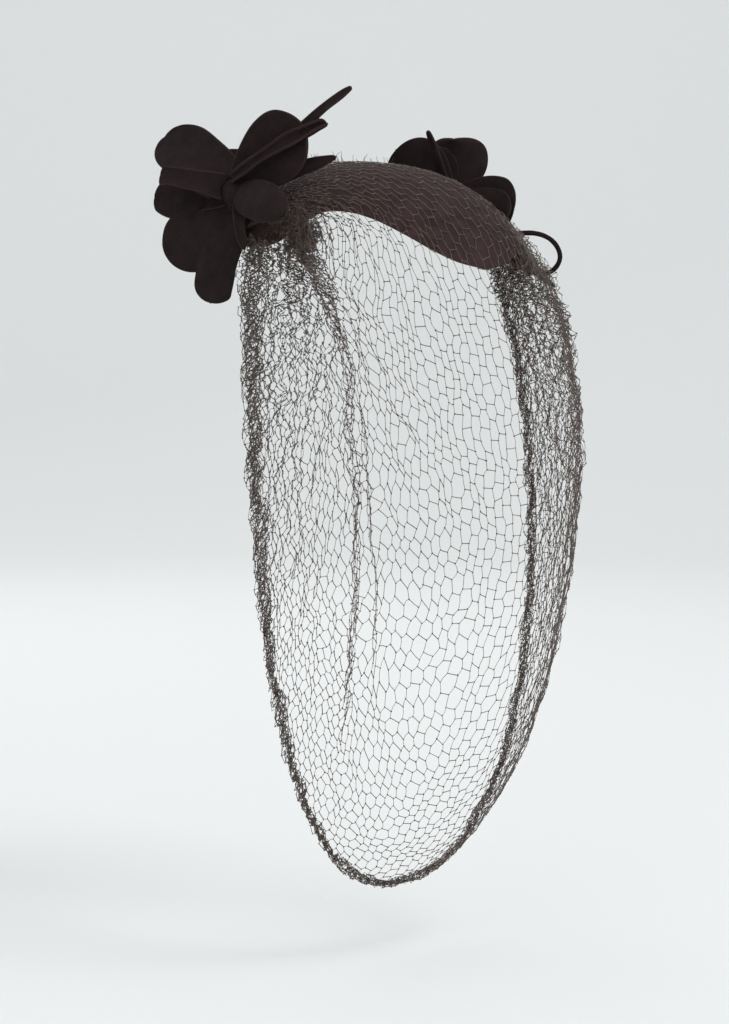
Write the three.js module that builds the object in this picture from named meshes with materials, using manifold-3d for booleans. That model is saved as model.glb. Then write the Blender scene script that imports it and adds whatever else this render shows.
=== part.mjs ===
// Veiled half hat: a small felt crown cap with a heart-shaped front edge, two felt flowers at its
// sides, a net veil over crown and face that is gathered under both flowers, and a felt cord loop.
// Millimetres, +Z up, the wearer faces -Y and the wearer's left is +X.
// The origin is the top of the head, on the inner face of the felt.
import * as THREE from 'three';
import { mergeVertices } from 'three/addons/utils/BufferGeometryUtils.js';
import Module from 'manifold-3d';

const wasm = await Module();
wasm.setup();

// Form of the head under the felt: a rounded box-like ellipsoid, its centre set back a little
const headHalfWidth = 80;
const headHalfLength = 104;
const headHeight = 88;
const headSquareness = 2.3;
const headSetBack = 2;
const leastShare = 0.02;

// Felt, cord and net
const feltThickness = 2;
const petalThickness = 1.8;
const netThickness = 1.2;
const netLoft = 2.6;
const clearance = 0.35;
const cordDiameter = 2.6;

// Felt cap: its edge lies at an angle from the crown's top, in degrees of the head form
const capReach = 73.7;

// Veil: how far it hangs below the origin, stands before it, and swings out to each side
const veilDrop = 371;
const veilForward = 130;
const veilHalfWidth = 107;
const veilClothHalf = 365;
const veilColumns = 22;
const veilRows = 15;
const hemThickness = 4.6;
const netBarShare = 0.3;
const foldDepth = 5;
const foldAxis = 35;
const foldRise = 0.12;
const foldFall = 0.2;
const pleatDepth = 1.6;
const pleatsFrom = 0.45;
const pleatsOver = 0.2;
const cellLean = 0.16;
const hemFrom = 0.92;
const hemOver = 0.06;

// Flowers: radius to the tip of a long petal, felt core, and its stand off the head
const flowerRadius = 60;
const coreRadius = 8;
const coreHeight = 17;
const coreSunk = 4;
const coreTaper = 0.36;
const coreBelly = 0.14;
const coreSides = 14;
const petalRootShare = 0.5;
const tipShare = 0.985;
const stripWidth = 0.12;

const deg = Math.PI / 180;

const felt = new THREE.MeshStandardMaterial({ color: 0x3a2c2d, roughness: 0.95, metalness: 0 });
const petalFelt = new THREE.MeshStandardMaterial({ color: 0x2a2022, roughness: 0.95, metalness: 0 });
const cordFelt = new THREE.MeshStandardMaterial({ color: 0x241c1d, roughness: 0.9, metalness: 0 });
const net = new THREE.MeshStandardMaterial({ color: 0x4b3a30, roughness: 0.8, metalness: 0 });

const group = new THREE.Group();

// Smooth step from 0 to 1
function smooth(x) {
  const k = Math.min(Math.max(x, 0), 1);
  return k * k * (3 - 2 * k);
}

// Smooth curve through the rows of a table: the value of one column at x in the column "at"
function along(table, column, x) {
  const last = table.length - 1;
  const at = (i) => {
    if (i < 0) return 2 * table[0].at - table[1].at;
    if (i > last) return 2 * table[last].at - table[last - 1].at;
    return table[i].at;
  };
  const value = (i) => {
    if (i < 0) return 2 * table[0][column] - table[1][column];
    if (i > last) return 2 * table[last][column] - table[last - 1][column];
    return table[i][column];
  };
  const here = Math.min(Math.max(x, at(0)), at(last));
  let i = 0;
  while (i < last - 1 && here >= at(i + 1)) i += 1;
  const step = at(i + 1) - at(i);
  const k = (here - at(i)) / step;
  const m0 = ((value(i + 1) - value(i - 1)) / (at(i + 1) - at(i - 1))) * step;
  const m1 = ((value(i + 2) - value(i)) / (at(i + 2) - at(i))) * step;
  return (2 * k ** 3 - 3 * k ** 2 + 1) * value(i) + (k ** 3 - 2 * k ** 2 + k) * m0
    + (-2 * k ** 3 + 3 * k ** 2) * value(i + 1) + (k ** 3 - k ** 2) * m1;
}

// Point of the head form in a direction from its centre, raised by an offset
function headPoint(direction, offset) {
  const p = headSquareness;
  const size = (Math.abs(direction.x / (headHalfWidth + offset)) ** p
    + Math.abs(direction.y / (headHalfLength + offset)) ** p
    + Math.abs(direction.z / (headHeight + offset)) ** p) ** (-1 / p);
  return new THREE.Vector3(direction.x * size, headSetBack + direction.y * size,
    -headHeight + direction.z * size);
}

// Direction on the head: turn from the front, tilt from the top, in radians
function headDirection(turn, tilt) {
  return new THREE.Vector3(Math.sin(tilt) * Math.sin(turn), -Math.sin(tilt) * Math.cos(turn),
    Math.cos(tilt));
}

// Sideways reach of the head form at a given y and z
function headSide(y, z, offset) {
  const p = headSquareness;
  const left = 1 - Math.abs((y - headSetBack) / (headHalfLength + offset)) ** p
    - Math.abs((z + headHeight) / (headHeight + offset)) ** p;
  return (headHalfWidth + offset) * Math.max(left, leastShare) ** (1 / p);
}

// Geometry of a closed solid from its points and faces
function solidGeometry(points, faces) {
  const geometry = new THREE.BufferGeometry();
  const numbers = points.flatMap((p) => p.toArray());
  geometry.setAttribute('position', new THREE.Float32BufferAttribute(numbers, 3));
  geometry.setIndex(faces.flat());
  return geometry;
}

// Two triangles of a four-sided face
function quad(faces, a, b, c, d) {
  faces.push([a, b, c], [a, c, d]);
}

// Cloth wall with a closed rim between two skins, each a grid of rows and columns of points
function wallGeometry(outer, inner) {
  const rows = outer.length;
  const columns = outer[0].length;
  const points = [...outer.flat(), ...inner.flat()];
  const faces = [];
  const top = (i, j) => i * columns + j;
  const under = (i, j) => rows * columns + i * columns + j;
  for (let i = 0; i < rows - 1; i += 1) {
    for (let j = 0; j < columns - 1; j += 1) {
      quad(faces, top(i, j), top(i + 1, j), top(i + 1, j + 1), top(i, j + 1));
      quad(faces, under(i, j), under(i, j + 1), under(i + 1, j + 1), under(i + 1, j));
    }
  }
  for (let i = 0; i < rows - 1; i += 1) {
    quad(faces, top(i, 0), under(i, 0), under(i + 1, 0), top(i + 1, 0));
    quad(faces, top(i, columns - 1), top(i + 1, columns - 1), under(i + 1, columns - 1),
      under(i, columns - 1));
  }
  for (let j = 0; j < columns - 1; j += 1) {
    quad(faces, top(0, j), top(0, j + 1), under(0, j + 1), under(0, j));
    quad(faces, top(rows - 1, j), under(rows - 1, j), under(rows - 1, j + 1), top(rows - 1, j + 1));
  }
  return solidGeometry(points, faces);
}

// Solid of a geometry, for cutting
function toSolid(geometry) {
  const plain = new THREE.BufferGeometry();
  plain.setAttribute('position', geometry.getAttribute('position'));
  if (geometry.index) plain.setIndex(geometry.index);
  const merged = mergeVertices(plain, 1e-4);
  return new wasm.Manifold(new wasm.Mesh({
    numProp: 3,
    vertProperties: new Float32Array(merged.getAttribute('position').array),
    triVerts: new Uint32Array(merged.index.array),
  }));
}

// Geometry of a solid, its largest piece where a cut has left crumbs
function toGeometry(solid) {
  const pieces = solid.decompose().sort((a, b) => b.volume() - a.volume());
  const mesh = pieces[0].getMesh();
  const geometry = new THREE.BufferGeometry();
  geometry.setAttribute('position', new THREE.Float32BufferAttribute(mesh.vertProperties, 3));
  geometry.setIndex([...mesh.triVerts]);
  return geometry;
}

function addPiece(name, geometry, material) {
  const flat = geometry.toNonIndexed();
  flat.computeVertexNormals();
  const mesh = new THREE.Mesh(flat, material);
  mesh.name = name;
  group.add(mesh);
}

// Edge of the cap: turn from the front in degrees, and how far down the edge lies, as a share
// of capReach. It is deep at the heart's point, high over each brow, deep at the side tabs
// under the flowers and short behind.
const capEdge = [
  { at: 0, share: 0.971 },
  { at: 10, share: 0.943 },
  { at: 17.5, share: 0.893 },
  { at: 25, share: 0.821 },
  { at: 33, share: 0.746 },
  { at: 42, share: 0.689 },
  { at: 52, share: 0.666 },
  { at: 59, share: 0.7 },
  { at: 65, share: 0.755 },
  { at: 71, share: 0.79 },
  { at: 79, share: 0.79 },
  { at: 88, share: 0.785 },
  { at: 97, share: 0.76 },
  { at: 110, share: 0.7 },
  { at: 126, share: 0.57 },
  { at: 145, share: 0.42 },
  { at: 165, share: 0.353 },
  { at: 180, share: 0.34 },
];

// Felt cap: one skin of rings from the top to the edge, and the same again inside
function capGeometry() {
  const rings = 6;
  const sectors = 44;
  const points = [];
  const faces = [];
  const skin = (offset) => {
    const first = points.length;
    points.push(headPoint(new THREE.Vector3(0, 0, 1), offset));
    for (let i = 1; i <= rings; i += 1) {
      for (let j = 0; j < sectors; j += 1) {
        const turn = (j / sectors) * 360;
        const edge = capReach * along(capEdge, 'share', Math.min(turn, 360 - turn)) * deg;
        points.push(headPoint(headDirection(turn * deg, (edge * i) / rings), offset));
      }
    }
    return first;
  };
  const outer = skin(feltThickness);
  const inner = skin(0);
  const at = (first, i, j) => first + 1 + (i - 1) * sectors + (j % sectors);
  for (let j = 0; j < sectors; j += 1) {
    faces.push([outer, at(outer, 1, j), at(outer, 1, j + 1)]);
    faces.push([inner, at(inner, 1, j + 1), at(inner, 1, j)]);
    for (let i = 1; i < rings; i += 1) {
      quad(faces, at(outer, i, j), at(outer, i + 1, j), at(outer, i + 1, j + 1), at(outer, i, j + 1));
      quad(faces, at(inner, i, j), at(inner, i, j + 1), at(inner, i + 1, j + 1), at(inner, i + 1, j));
    }
    quad(faces, at(outer, rings, j), at(inner, rings, j), at(inner, rings, j + 1),
      at(outer, rings, j + 1));
  }
  return solidGeometry(points, faces);
}

// The veil's rows, from the edge on the crown to the rolled edge under the chin. Each row is a
// curve from the gather on one side through the middle to the gather on the other.
// gatherFront: share of headHalfLength; gatherDown: share of headHeight; midFront: share of
// veilForward; midDown: share of veilDrop; right, left: widest reach, share of veilHalfWidth
const veilTable = [
  {
    at: 0.0, gatherFront: -0.038, gatherDown: 0.398,
    midFront: -0.292, midDown: 0.032, right: 0.65, left: 0.65,
  },
  {
    at: 0.1, gatherFront: 0.067, gatherDown: 0.352,
    midFront: 0, midDown: -0.008, right: 0.65, left: 0.65,
  },
  {
    at: 0.2, gatherFront: 0.173, gatherDown: 0.33,
    midFront: 0.423, midDown: 0.022, right: 0.65, left: 0.65,
  },
  {
    at: 0.3, gatherFront: 0.269, gatherDown: 0.341,
    midFront: 0.792, midDown: 0.146, right: 0.69, left: 0.69,
  },
  {
    at: 0.4, gatherFront: 0.346, gatherDown: 0.375,
    midFront: 0.908, midDown: 0.27, right: 0.71, left: 0.72,
  },
  {
    at: 0.5, gatherFront: 0.385, gatherDown: 0.42,
    midFront: 0.985, midDown: 0.399, right: 0.72, left: 0.74,
  },
  {
    at: 0.6, gatherFront: 0.365, gatherDown: 0.466,
    midFront: 1, midDown: 0.518, right: 0.77, left: 0.765,
  },
  {
    at: 0.7, gatherFront: 0.308, gatherDown: 0.489,
    midFront: 0.908, midDown: 0.647, right: 0.78, left: 0.81,
  },
  {
    at: 0.8, gatherFront: 0.231, gatherDown: 0.489,
    midFront: 0.746, midDown: 0.782, right: 0.79, left: 0.87,
  },
  {
    at: 0.9, gatherFront: 0.144, gatherDown: 0.466,
    midFront: 0.523, midDown: 0.906, right: 0.79, left: 0.94,
  },
  {
    at: 1.0, gatherFront: 0.058, gatherDown: 0.432,
    midFront: 0.277, midDown: 1, right: 0.79, left: 1,
  },
];
const rowLeavesCrown = 0.27;
const rowHangsFree = 0.4;
const rightFullness = 2.5;
const leftFullness = 2.15;
const leastFullness = 1.02;

// Middle of the net's wall above the head form: it stands a little over the felt
const netOffset = feltThickness + clearance + netLoft + netThickness / 2;

// Ends and middle of a row
function veilRow(row) {
  const gatherY = -headHalfLength * along(veilTable, 'gatherFront', row);
  const gatherZ = -headHeight * along(veilTable, 'gatherDown', row);
  return {
    gatherX: headSide(gatherY, gatherZ, netOffset),
    gatherY,
    gatherZ,
    midY: -veilForward * along(veilTable, 'midFront', row),
    midZ: -veilDrop * along(veilTable, 'midDown', row),
    right: veilHalfWidth * along(veilTable, 'right', row),
    left: veilHalfWidth * along(veilTable, 'left', row),
  };
}

// Point of a row lying on the crown; side runs from -1 at one gather to 1 at the other
function crownPoint(r, side) {
  const midTilt = Math.atan2(-(r.midY - headSetBack), r.midZ + headHeight);
  const gatherTilt = Math.atan2(-(r.gatherY - headSetBack), r.gatherZ + headHeight);
  const span = Math.hypot(r.gatherX, r.gatherY - headSetBack, r.gatherZ + headHeight);
  const swing = side * Math.asin(r.gatherX / span);
  const tilt = midTilt + (gatherTilt - midTilt) * side * side;
  const direction = new THREE.Vector3(Math.sin(swing), -Math.cos(swing) * Math.sin(tilt),
    Math.cos(swing) * Math.cos(tilt));
  return headPoint(direction, netOffset);
}

// Point of a row hanging free: a full, rounded U between the gathers
function hangingPoint(r, side) {
  const fullness = side < 0 ? rightFullness : leftFullness;
  const reach = Math.max(side < 0 ? r.right : r.left, r.gatherX * leastFullness);
  const start = Math.acos((r.gatherX / reach) ** (fullness / 2));
  const back = Math.sin(start) ** (2 / fullness);
  const angle = (Math.PI / 2 + start) * (1 - Math.abs(side)) - start;
  const out = reach * Math.max(Math.cos(angle), 0) ** (2 / fullness);
  const rise = Math.sign(Math.sin(angle)) * Math.abs(Math.sin(angle)) ** (2 / fullness);
  const down = (rise + back) / (1 + back);
  return new THREE.Vector3(Math.sign(side) * out, r.gatherY + (r.midY - r.gatherY) * down,
    r.gatherZ + (r.midZ - r.gatherZ) * down);
}

// Rows are walked by length, so each is kept as a measured line for either side
const rowSamples = 60;
const measuredRows = new Map();
function measuredRow(row, sign) {
  const key = `${row.toFixed(5)} ${sign}`;
  if (!measuredRows.has(key)) {
    const r = veilRow(row);
    const free = smooth((row - rowLeavesCrown) / (rowHangsFree - rowLeavesCrown));
    const points = [];
    const lengths = [0];
    for (let i = 0; i <= rowSamples; i += 1) {
      const side = (sign * i) / rowSamples;
      points.push(crownPoint(r, side).lerp(hangingPoint(r, side), free));
      if (i > 0) lengths.push(lengths[i - 1] + points[i].distanceTo(points[i - 1]));
    }
    measuredRows.set(key, { points, lengths });
  }
  return measuredRows.get(key);
}

// Folds of the veil: one deep fold down each cheek, and pleats that fan out of the gathers
const foldTable = [
  { column: -0.37, width: 0.07, from: 0.34, to: 0.85 },
  { column: 0.34, width: 0.08, from: 0.34, to: 0.9 },
];
function foldOut(row, share) {
  let out = 0;
  for (const fold of foldTable) {
    const near = Math.exp(-(((share - fold.column) / fold.width) ** 2));
    const shown = smooth((row - fold.from) / foldRise) * smooth((fold.to - row) / foldFall);
    out += foldDepth * near * shown;
  }
  const nearGather = smooth((Math.abs(share) - pleatsFrom) / pleatsOver);
  const pleat = 0.5 + 0.5 * Math.cos(share * Math.PI * veilColumns);
  return out + pleatDepth * pleat * nearGather * smooth((row - rowLeavesCrown) / foldRise);
}

// A point that would sink into the cap is lifted onto it; below the tabs the net hangs free
function liftOffCap(point) {
  const direction = new THREE.Vector3(point.x, point.y - headSetBack, point.z + headHeight);
  const surface = headPoint(direction, netOffset);
  const centre = new THREE.Vector3(0, headSetBack, -headHeight);
  const lifted = surface.distanceTo(centre) > direction.length();
  return lifted ? point.lerp(surface, smooth((point.z + headHeight) / (headHeight / 4))) : point;
}

// Point of the veil: row 0 to 1, share of the cloth's half width from -1 to 1. The cloth keeps
// its width in front and bunches up towards the gathers, where its rows are shorter than it is.
function veilPoint(row, share) {
  const line = measuredRow(row, share < 0 ? -1 : 1);
  const length = line.lengths[rowSamples];
  const bunching = Math.max(veilClothHalf / length, 1);
  const walked = length * (1 - (1 - Math.min(Math.abs(share), 1)) ** bunching);
  let i = 0;
  while (i < rowSamples - 1 && line.lengths[i + 1] < walked) i += 1;
  const step = line.lengths[i + 1] - line.lengths[i];
  const point = line.points[i].clone().lerp(line.points[i + 1], (walked - line.lengths[i]) / step);
  const outward = new THREE.Vector3(point.x, point.y + foldAxis, 0).normalize();
  return liftOffCap(point).addScaledVector(outward, foldOut(row, share));
}

// Outward normal of the veil
function veilNormal(row, share) {
  const small = 0.004;
  const high = veilPoint(Math.max(row - small, 0), share);
  const low = veilPoint(Math.min(row + small, 1), share);
  const right = veilPoint(row, Math.max(share - small, -1));
  const left = veilPoint(row, Math.min(share + small, 1));
  return left.sub(right).cross(low.sub(high)).normalize().negate();
}

// Lines of the net's cells from top to bottom: even over crown and face, close at the rolled edge
const veilLines = [
  { at: 0, row: 0 },
  { at: 4, row: 0.27 },
  { at: 13, row: 0.9 },
  { at: 14.5, row: 0.965 },
  { at: 16, row: 1 },
];
const piercedRows = { from: 4, to: 13.6 };
const piercedColumns = 6.5;
const linesPerRow = veilLines[veilLines.length - 1].at / veilRows;

// The net: a lattice of six-sided cells, each column half a cell lower than the last. Cells over
// the face are cut through; on the crown, at the gathers and along the rolled edge they are close.
function veilGeometry(grow) {
  const points = [];
  const faces = [];
  const lineCount = 2 * veilRows + 1;
  const skins = [[], []];
  const middle = veilColumns / 2;
  for (let i = 0; i <= veilColumns; i += 1) {
    for (let k = 0; k < lineCount; k += 1) {
      const atEnd = i === 0 || i === veilColumns;
      const lean = atEnd ? 0 : cellLean * ((i + k) % 2 === 0 ? 1 : -1);
      const share = (i + lean - middle) / middle;
      const line = (k / 2) * linesPerRow;
      const row = Math.min(Math.max(along(veilLines, 'row', line), 0), 1);
      const point = veilPoint(row, share);
      const normal = veilNormal(row, share);
      const rolled = smooth((row - hemFrom) / hemOver);
      const half = (netThickness + (hemThickness - netThickness) * rolled) / 2 + grow;
      skins[0].push(points.push(point.clone().addScaledVector(normal, half)) - 1);
      skins[1].push(points.push(point.clone().addScaledVector(normal, -half)) - 1);
    }
  }
  const at = (skin, i, k) => skins[skin][i * lineCount + k];
  for (let i = 0; i < veilColumns; i += 1) {
    for (let k = -(i % 2); k < lineCount - 1; k += 2) {
      const k0 = Math.max(k, 0);
      const k1 = Math.min(k + 2, lineCount - 1);
      const ring = [];
      for (let m = k0; m <= k1; m += 1) ring.push([i, m]);
      for (let m = k1; m >= k0; m -= 1) ring.push([i + 1, m]);
      const line = ((k + 1) / 2) * linesPerRow;
      const open = ring.length === 6 && Math.abs(i + 0.5 - middle) < piercedColumns
        && line > piercedRows.from && line < piercedRows.to;
      const loops = [0, 1].map((skin) => ring.map(([a, b]) => at(skin, a, b)));
      if (open) {
        const holes = loops.map((loop) => {
          const centre = new THREE.Vector3();
          loop.forEach((n) => centre.addScaledVector(points[n], 1 / loop.length));
          return loop.map((n) => points.push(points[n].clone().lerp(centre, netBarShare)) - 1);
        });
        for (let m = 0; m < 6; m += 1) {
          const n = (m + 1) % 6;
          quad(faces, loops[0][m], loops[0][n], holes[0][n], holes[0][m]);
          quad(faces, loops[1][m], holes[1][m], holes[1][n], loops[1][n]);
          quad(faces, holes[0][m], holes[0][n], holes[1][n], holes[1][m]);
        }
      } else {
        for (let m = 1; m < ring.length / 2; m += 1) {
          const n = ring.length - 1 - m;
          quad(faces, loops[0][m - 1], loops[0][m], loops[0][n], loops[0][n + 1]);
          quad(faces, loops[1][m - 1], loops[1][n + 1], loops[1][n], loops[1][m]);
        }
      }
    }
  }
  for (let k = 0; k < lineCount - 1; k += 1) {
    quad(faces, at(0, 0, k), at(1, 0, k), at(1, 0, k + 1), at(0, 0, k + 1));
    quad(faces, at(0, veilColumns, k), at(0, veilColumns, k + 1), at(1, veilColumns, k + 1),
      at(1, veilColumns, k));
  }
  for (let i = 0; i < veilColumns; i += 1) {
    quad(faces, at(0, i, 0), at(0, i + 1, 0), at(1, i + 1, 0), at(1, i, 0));
    const low = lineCount - 1;
    quad(faces, at(0, i, low), at(1, i, low), at(1, i + 1, low), at(0, i + 1, low));
  }
  return solidGeometry(points, faces);
}

// The head form up to the net, as a solid: what is sewn on top of the veil is cut clear of it
function guardSolid(offset) {
  const turns = 36;
  const tilts = 18;
  const points = [headPoint(new THREE.Vector3(0, 0, 1), offset)];
  const faces = [];
  for (let i = 1; i < tilts; i += 1) {
    for (let j = 0; j < turns; j += 1) {
      points.push(headPoint(headDirection((j / turns) * 2 * Math.PI, (i / tilts) * Math.PI), offset));
    }
  }
  points.push(headPoint(new THREE.Vector3(0, 0, -1), offset));
  const at = (i, j) => 1 + (i - 1) * turns + (j % turns);
  for (let j = 0; j < turns; j += 1) {
    faces.push([0, at(1, j), at(1, j + 1)]);
    faces.push([points.length - 1, at(tilts - 1, j + 1), at(tilts - 1, j)]);
    for (let i = 1; i < tilts - 1; i += 1) {
      quad(faces, at(i, j), at(i + 1, j), at(i + 1, j + 1), at(i, j + 1));
    }
  }
  return toSolid(solidGeometry(points, faces));
}
const guard = guardSolid(netOffset).add(toSolid(veilGeometry(clearance)));

// A flower's frame: base on the head form, axis standing off it, and the way to the crown's top
function flowerFrame(side, turn, tilt) {
  const direction = headDirection(side * turn * deg, tilt * deg);
  const base = headPoint(direction, netOffset);
  const small = 0.01;
  const beside = headDirection(side * (turn + small) * deg, tilt * deg);
  const below = headDirection(side * turn * deg, (tilt + small) * deg);
  const sideways = headPoint(beside, netOffset).sub(base);
  const downwards = headPoint(below, netOffset).sub(base);
  const axis = sideways.cross(downwards).normalize();
  if (axis.dot(direction) < 0) axis.negate();
  const inward = new THREE.Vector3(0, 0, 1).addScaledVector(axis, -axis.z).normalize();
  const front = new THREE.Vector3(0, -1, 0);
  front.addScaledVector(axis, -front.dot(axis)).addScaledVector(inward, -front.dot(inward)).normalize();
  return { base, axis, inward, front };
}

// Felt core that a flower's petals are sewn to: a stub that bellies out and closes over the top
function coreGeometry(frame, grow) {
  const steps = 7;
  const profile = [new THREE.Vector2(0, -coreSunk)];
  for (let i = 0; i <= steps; i += 1) {
    const k = i / steps;
    const taper = Math.sqrt(1 - coreTaper * k * k);
    const belly = 1 - coreBelly + coreBelly * Math.sin(k * Math.PI);
    const height = -coreSunk + (coreHeight + coreSunk + grow) * k;
    profile.push(new THREE.Vector2((coreRadius + grow) * taper * belly, height));
  }
  profile.push(new THREE.Vector2(0, coreHeight + grow));
  const geometry = new THREE.LatheGeometry(profile, coreSides);
  geometry.rotateX(Math.PI / 2);
  const turn = new THREE.Quaternion().setFromUnitVectors(new THREE.Vector3(0, 0, 1), frame.axis);
  geometry.applyQuaternion(turn);
  geometry.translate(frame.base.x, frame.base.y, frame.base.z);
  return geometry;
}

// Width of a petal at a share of its length, as a share of its full width
function petalWidth(petal, k) {
  const swell = petal.root + (1 - petal.root) * Math.sin((Math.PI / 2) * Math.min(k / petal.widest, 1));
  const past = Math.max((k - petal.widest) / (1 - petal.widest), 0);
  return swell * Math.sqrt(Math.max(1 - (past * tipShare) ** petal.blunt, 0));
}

// Petal: a felt tongue on a bent centre line. It leaves the core at a height, runs towards its
// tip, which lies at a turn round the flower, a reach from the axis and a height over the base;
// its sides cup and its middle bows.
function petalGeometry(frame, petal, grow) {
  const rows = 6;
  const columns = petal.width < stripWidth ? 3 : 5;
  const turned = (angle) => frame.inward.clone().multiplyScalar(Math.cos(angle * deg))
    .addScaledVector(frame.front, Math.sin(angle * deg));
  const start = frame.base.clone().addScaledVector(frame.axis, petal.from * coreHeight)
    .addScaledVector(turned(petal.turn), coreRadius * petalRootShare);
  const tip = frame.base.clone().addScaledVector(frame.axis, petal.to * flowerRadius)
    .addScaledVector(turned(petal.turn), petal.reach * flowerRadius);
  const run = tip.clone().sub(start);
  const facing = frame.axis.clone();
  facing.addScaledVector(run, -facing.dot(run) / run.lengthSq()).normalize();
  facing.applyAxisAngle(run.clone().normalize(), petal.face * deg);
  const bend = start.clone().lerp(tip, 0.5).addScaledVector(facing, petal.bow * flowerRadius);
  const curve = new THREE.QuadraticBezierCurve3(start, bend, tip);
  const outer = [];
  const inner = [];
  for (let i = 0; i < rows; i += 1) {
    const k = 1 - (1 - i / (rows - 1)) ** 1.6;
    const centre = curve.getPoint(k);
    const forward = curve.getTangent(k);
    const up = facing.clone().addScaledVector(forward, -facing.dot(forward)).normalize();
    const across = up.clone().cross(forward);
    const half = (petal.width * flowerRadius * petalWidth(petal, k)) / 2 + grow;
    const rowOuter = [];
    const rowInner = [];
    for (let j = 0; j < columns; j += 1) {
      const v = (2 * j) / (columns - 1) - 1;
      const cup = petal.cup * deg * v;
      const radial = Math.abs(petal.cup) < 1 ? half * v : (half * Math.sin(cup)) / (petal.cup * deg);
      const rise = Math.abs(petal.cup) < 1 ? 0 : (half * (1 - Math.cos(cup))) / (petal.cup * deg);
      const point = centre.clone().addScaledVector(across, radial).addScaledVector(up, rise);
      const normal = up.clone().multiplyScalar(Math.cos(cup)).addScaledVector(across, -Math.sin(cup));
      const thick = petalThickness / 2 + grow;
      rowOuter.push(point.clone().addScaledVector(normal, thick));
      rowInner.push(point.clone().addScaledVector(normal, -thick));
    }
    outer.push(rowOuter);
    inner.push(rowInner);
  }
  return wallGeometry(outer, inner);
}

// Right flower, facing the front: petal by petal. from: height on the core; turn: degrees from
// the crown's top towards the front; reach, to, width, bow: shares of flowerRadius; root: width at
// the core; widest: where the petal is widest; blunt: roundness of its tip; face, cup: degrees
const rightPetals = [
  {
    name: 'front_oval', from: 0.72, turn: 106, reach: 0.8, to: 0.13, width: 0.34, root: 0.55,
    widest: 0.5, blunt: 2.3, face: 15, cup: -24, bow: 0.1,
  },
  {
    name: 'loop_band', from: 0.9, turn: -112, reach: 0.47, to: 0.6, width: 0.17, root: 1.4,
    widest: 0.85, blunt: 8, face: -25, cup: 35, bow: 0.06,
  },
  {
    name: 'upright_petal', from: 0.7, turn: 49, reach: 0.82, to: 0.34, width: 0.6, root: 0.42,
    widest: 0.62, blunt: 2.6, face: 42, cup: 24, bow: -0.03,
  },
  {
    name: 'rolled_strip', from: 1, turn: 52, reach: 1, to: 0.25, width: 0.14, root: 0.8,
    widest: 0.85, blunt: 7, face: 30, cup: 95, bow: 0.12,
  },
  {
    name: 'long_strip', from: 0.55, turn: 42, reach: 1.3, to: 0.3, width: 0.085, root: 1.1,
    widest: 0.3, blunt: 4, face: 30, cup: 30, bow: 0.1,
  },
  {
    name: 'crown_strip', from: 0.5, turn: 46, reach: 0.84, to: -0.1, width: 0.14, root: 0.9,
    widest: 0.35, blunt: 1.7, face: 35, cup: 20, bow: 0.06,
  },
  {
    name: 'top_petal', from: 0.85, turn: -69, reach: 0.85, to: 0.58, width: 0.5, root: 0.8,
    widest: 0.55, blunt: 2.4, face: 5, cup: 24, bow: 0.05,
  },
  {
    name: 'top_petal_back', from: 0.5, turn: -44, reach: 0.36, to: 0.36, width: 0.42, root: 0.4,
    widest: 0.6, blunt: 2.2, face: 10, cup: 10, bow: 0.02,
  },
  {
    name: 'side_petal', from: 0.55, turn: -100, reach: 0.84, to: 0.32, width: 0.4, root: 0.45,
    widest: 0.6, blunt: 2.2, face: -25, cup: 22, bow: 0.05,
  },
  {
    name: 'low_round_petal', from: 0.3, turn: -142, reach: 0.8, to: 0.08, width: 0.58, root: 0.4,
    widest: 0.6, blunt: 2.2, face: -38, cup: -14, bow: 0.08,
  },
  {
    name: 'low_long_petal', from: 0.15, turn: 180, reach: 0.88, to: -0.2, width: 0.42, root: 0.45,
    widest: 0.66, blunt: 2.4, face: -32, cup: -16, bow: 0.1,
  },
  {
    name: 'narrow_strip', from: 0.42, turn: 148, reach: 0.55, to: -0.02, width: 0.09, root: 1,
    widest: 0.5, blunt: 3, face: -20, cup: 30, bow: 0.08,
  },
];

// Left flower, by the same columns
const leftPetals = [
  {
    name: 'rose_petal', from: 0.9, turn: 4, reach: 0.4, to: 0.5, width: 0.62, root: 0.6,
    widest: 0.55, blunt: 2.6, face: 28, cup: 60, bow: 0.08,
  },
  {
    name: 'inner_petal', from: 0.75, turn: -25, reach: 0.46, to: 0.26, width: 0.46, root: 0.5,
    widest: 0.6, blunt: 2.2, face: 45, cup: 20, bow: 0,
  },
  {
    name: 'back_petal', from: 0.45, turn: -30, reach: 0.66, to: 0.17, width: 0.56, root: 0.45,
    widest: 0.6, blunt: 2.2, face: 42, cup: 14, bow: 0.03,
  },
  {
    name: 'small_tail', from: 0.6, turn: 2, reach: 0.64, to: 0.32, width: 0.07, root: 1.1,
    widest: 0.4, blunt: 2, face: 0, cup: 30, bow: 0,
  },
  {
    name: 'side_petal', from: 0.8, turn: 124, reach: 0.54, to: 0.34, width: 0.5, root: 0.5,
    widest: 0.6, blunt: 2.6, face: -38, cup: 20, bow: 0.03,
  },
  {
    name: 'curled_petal', from: 0.4, turn: 112, reach: 0.62, to: 0.16, width: 0.42, root: 0.5,
    widest: 0.6, blunt: 2.2, face: -45, cup: 30, bow: 0.05,
  },
  {
    name: 'low_petal', from: 0.3, turn: 138, reach: 1.02, to: 0.03, width: 0.42, root: 0.45,
    widest: 0.62, blunt: 2.4, face: 10, cup: -16, bow: 0.1,
  },
  {
    name: 'low_tail', from: 0.12, turn: 133, reach: 1.24, to: -0.08, width: 0.11, root: 1.1,
    widest: 0.3, blunt: 1.6, face: 0, cup: 30, bow: 0.06,
  },
  {
    name: 'low_back_petal', from: 0.35, turn: -118, reach: 0.66, to: 0.16, width: 0.5, root: 0.45,
    widest: 0.6, blunt: 2.2, face: 0, cup: 14, bow: 0.03,
  },
];

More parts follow.
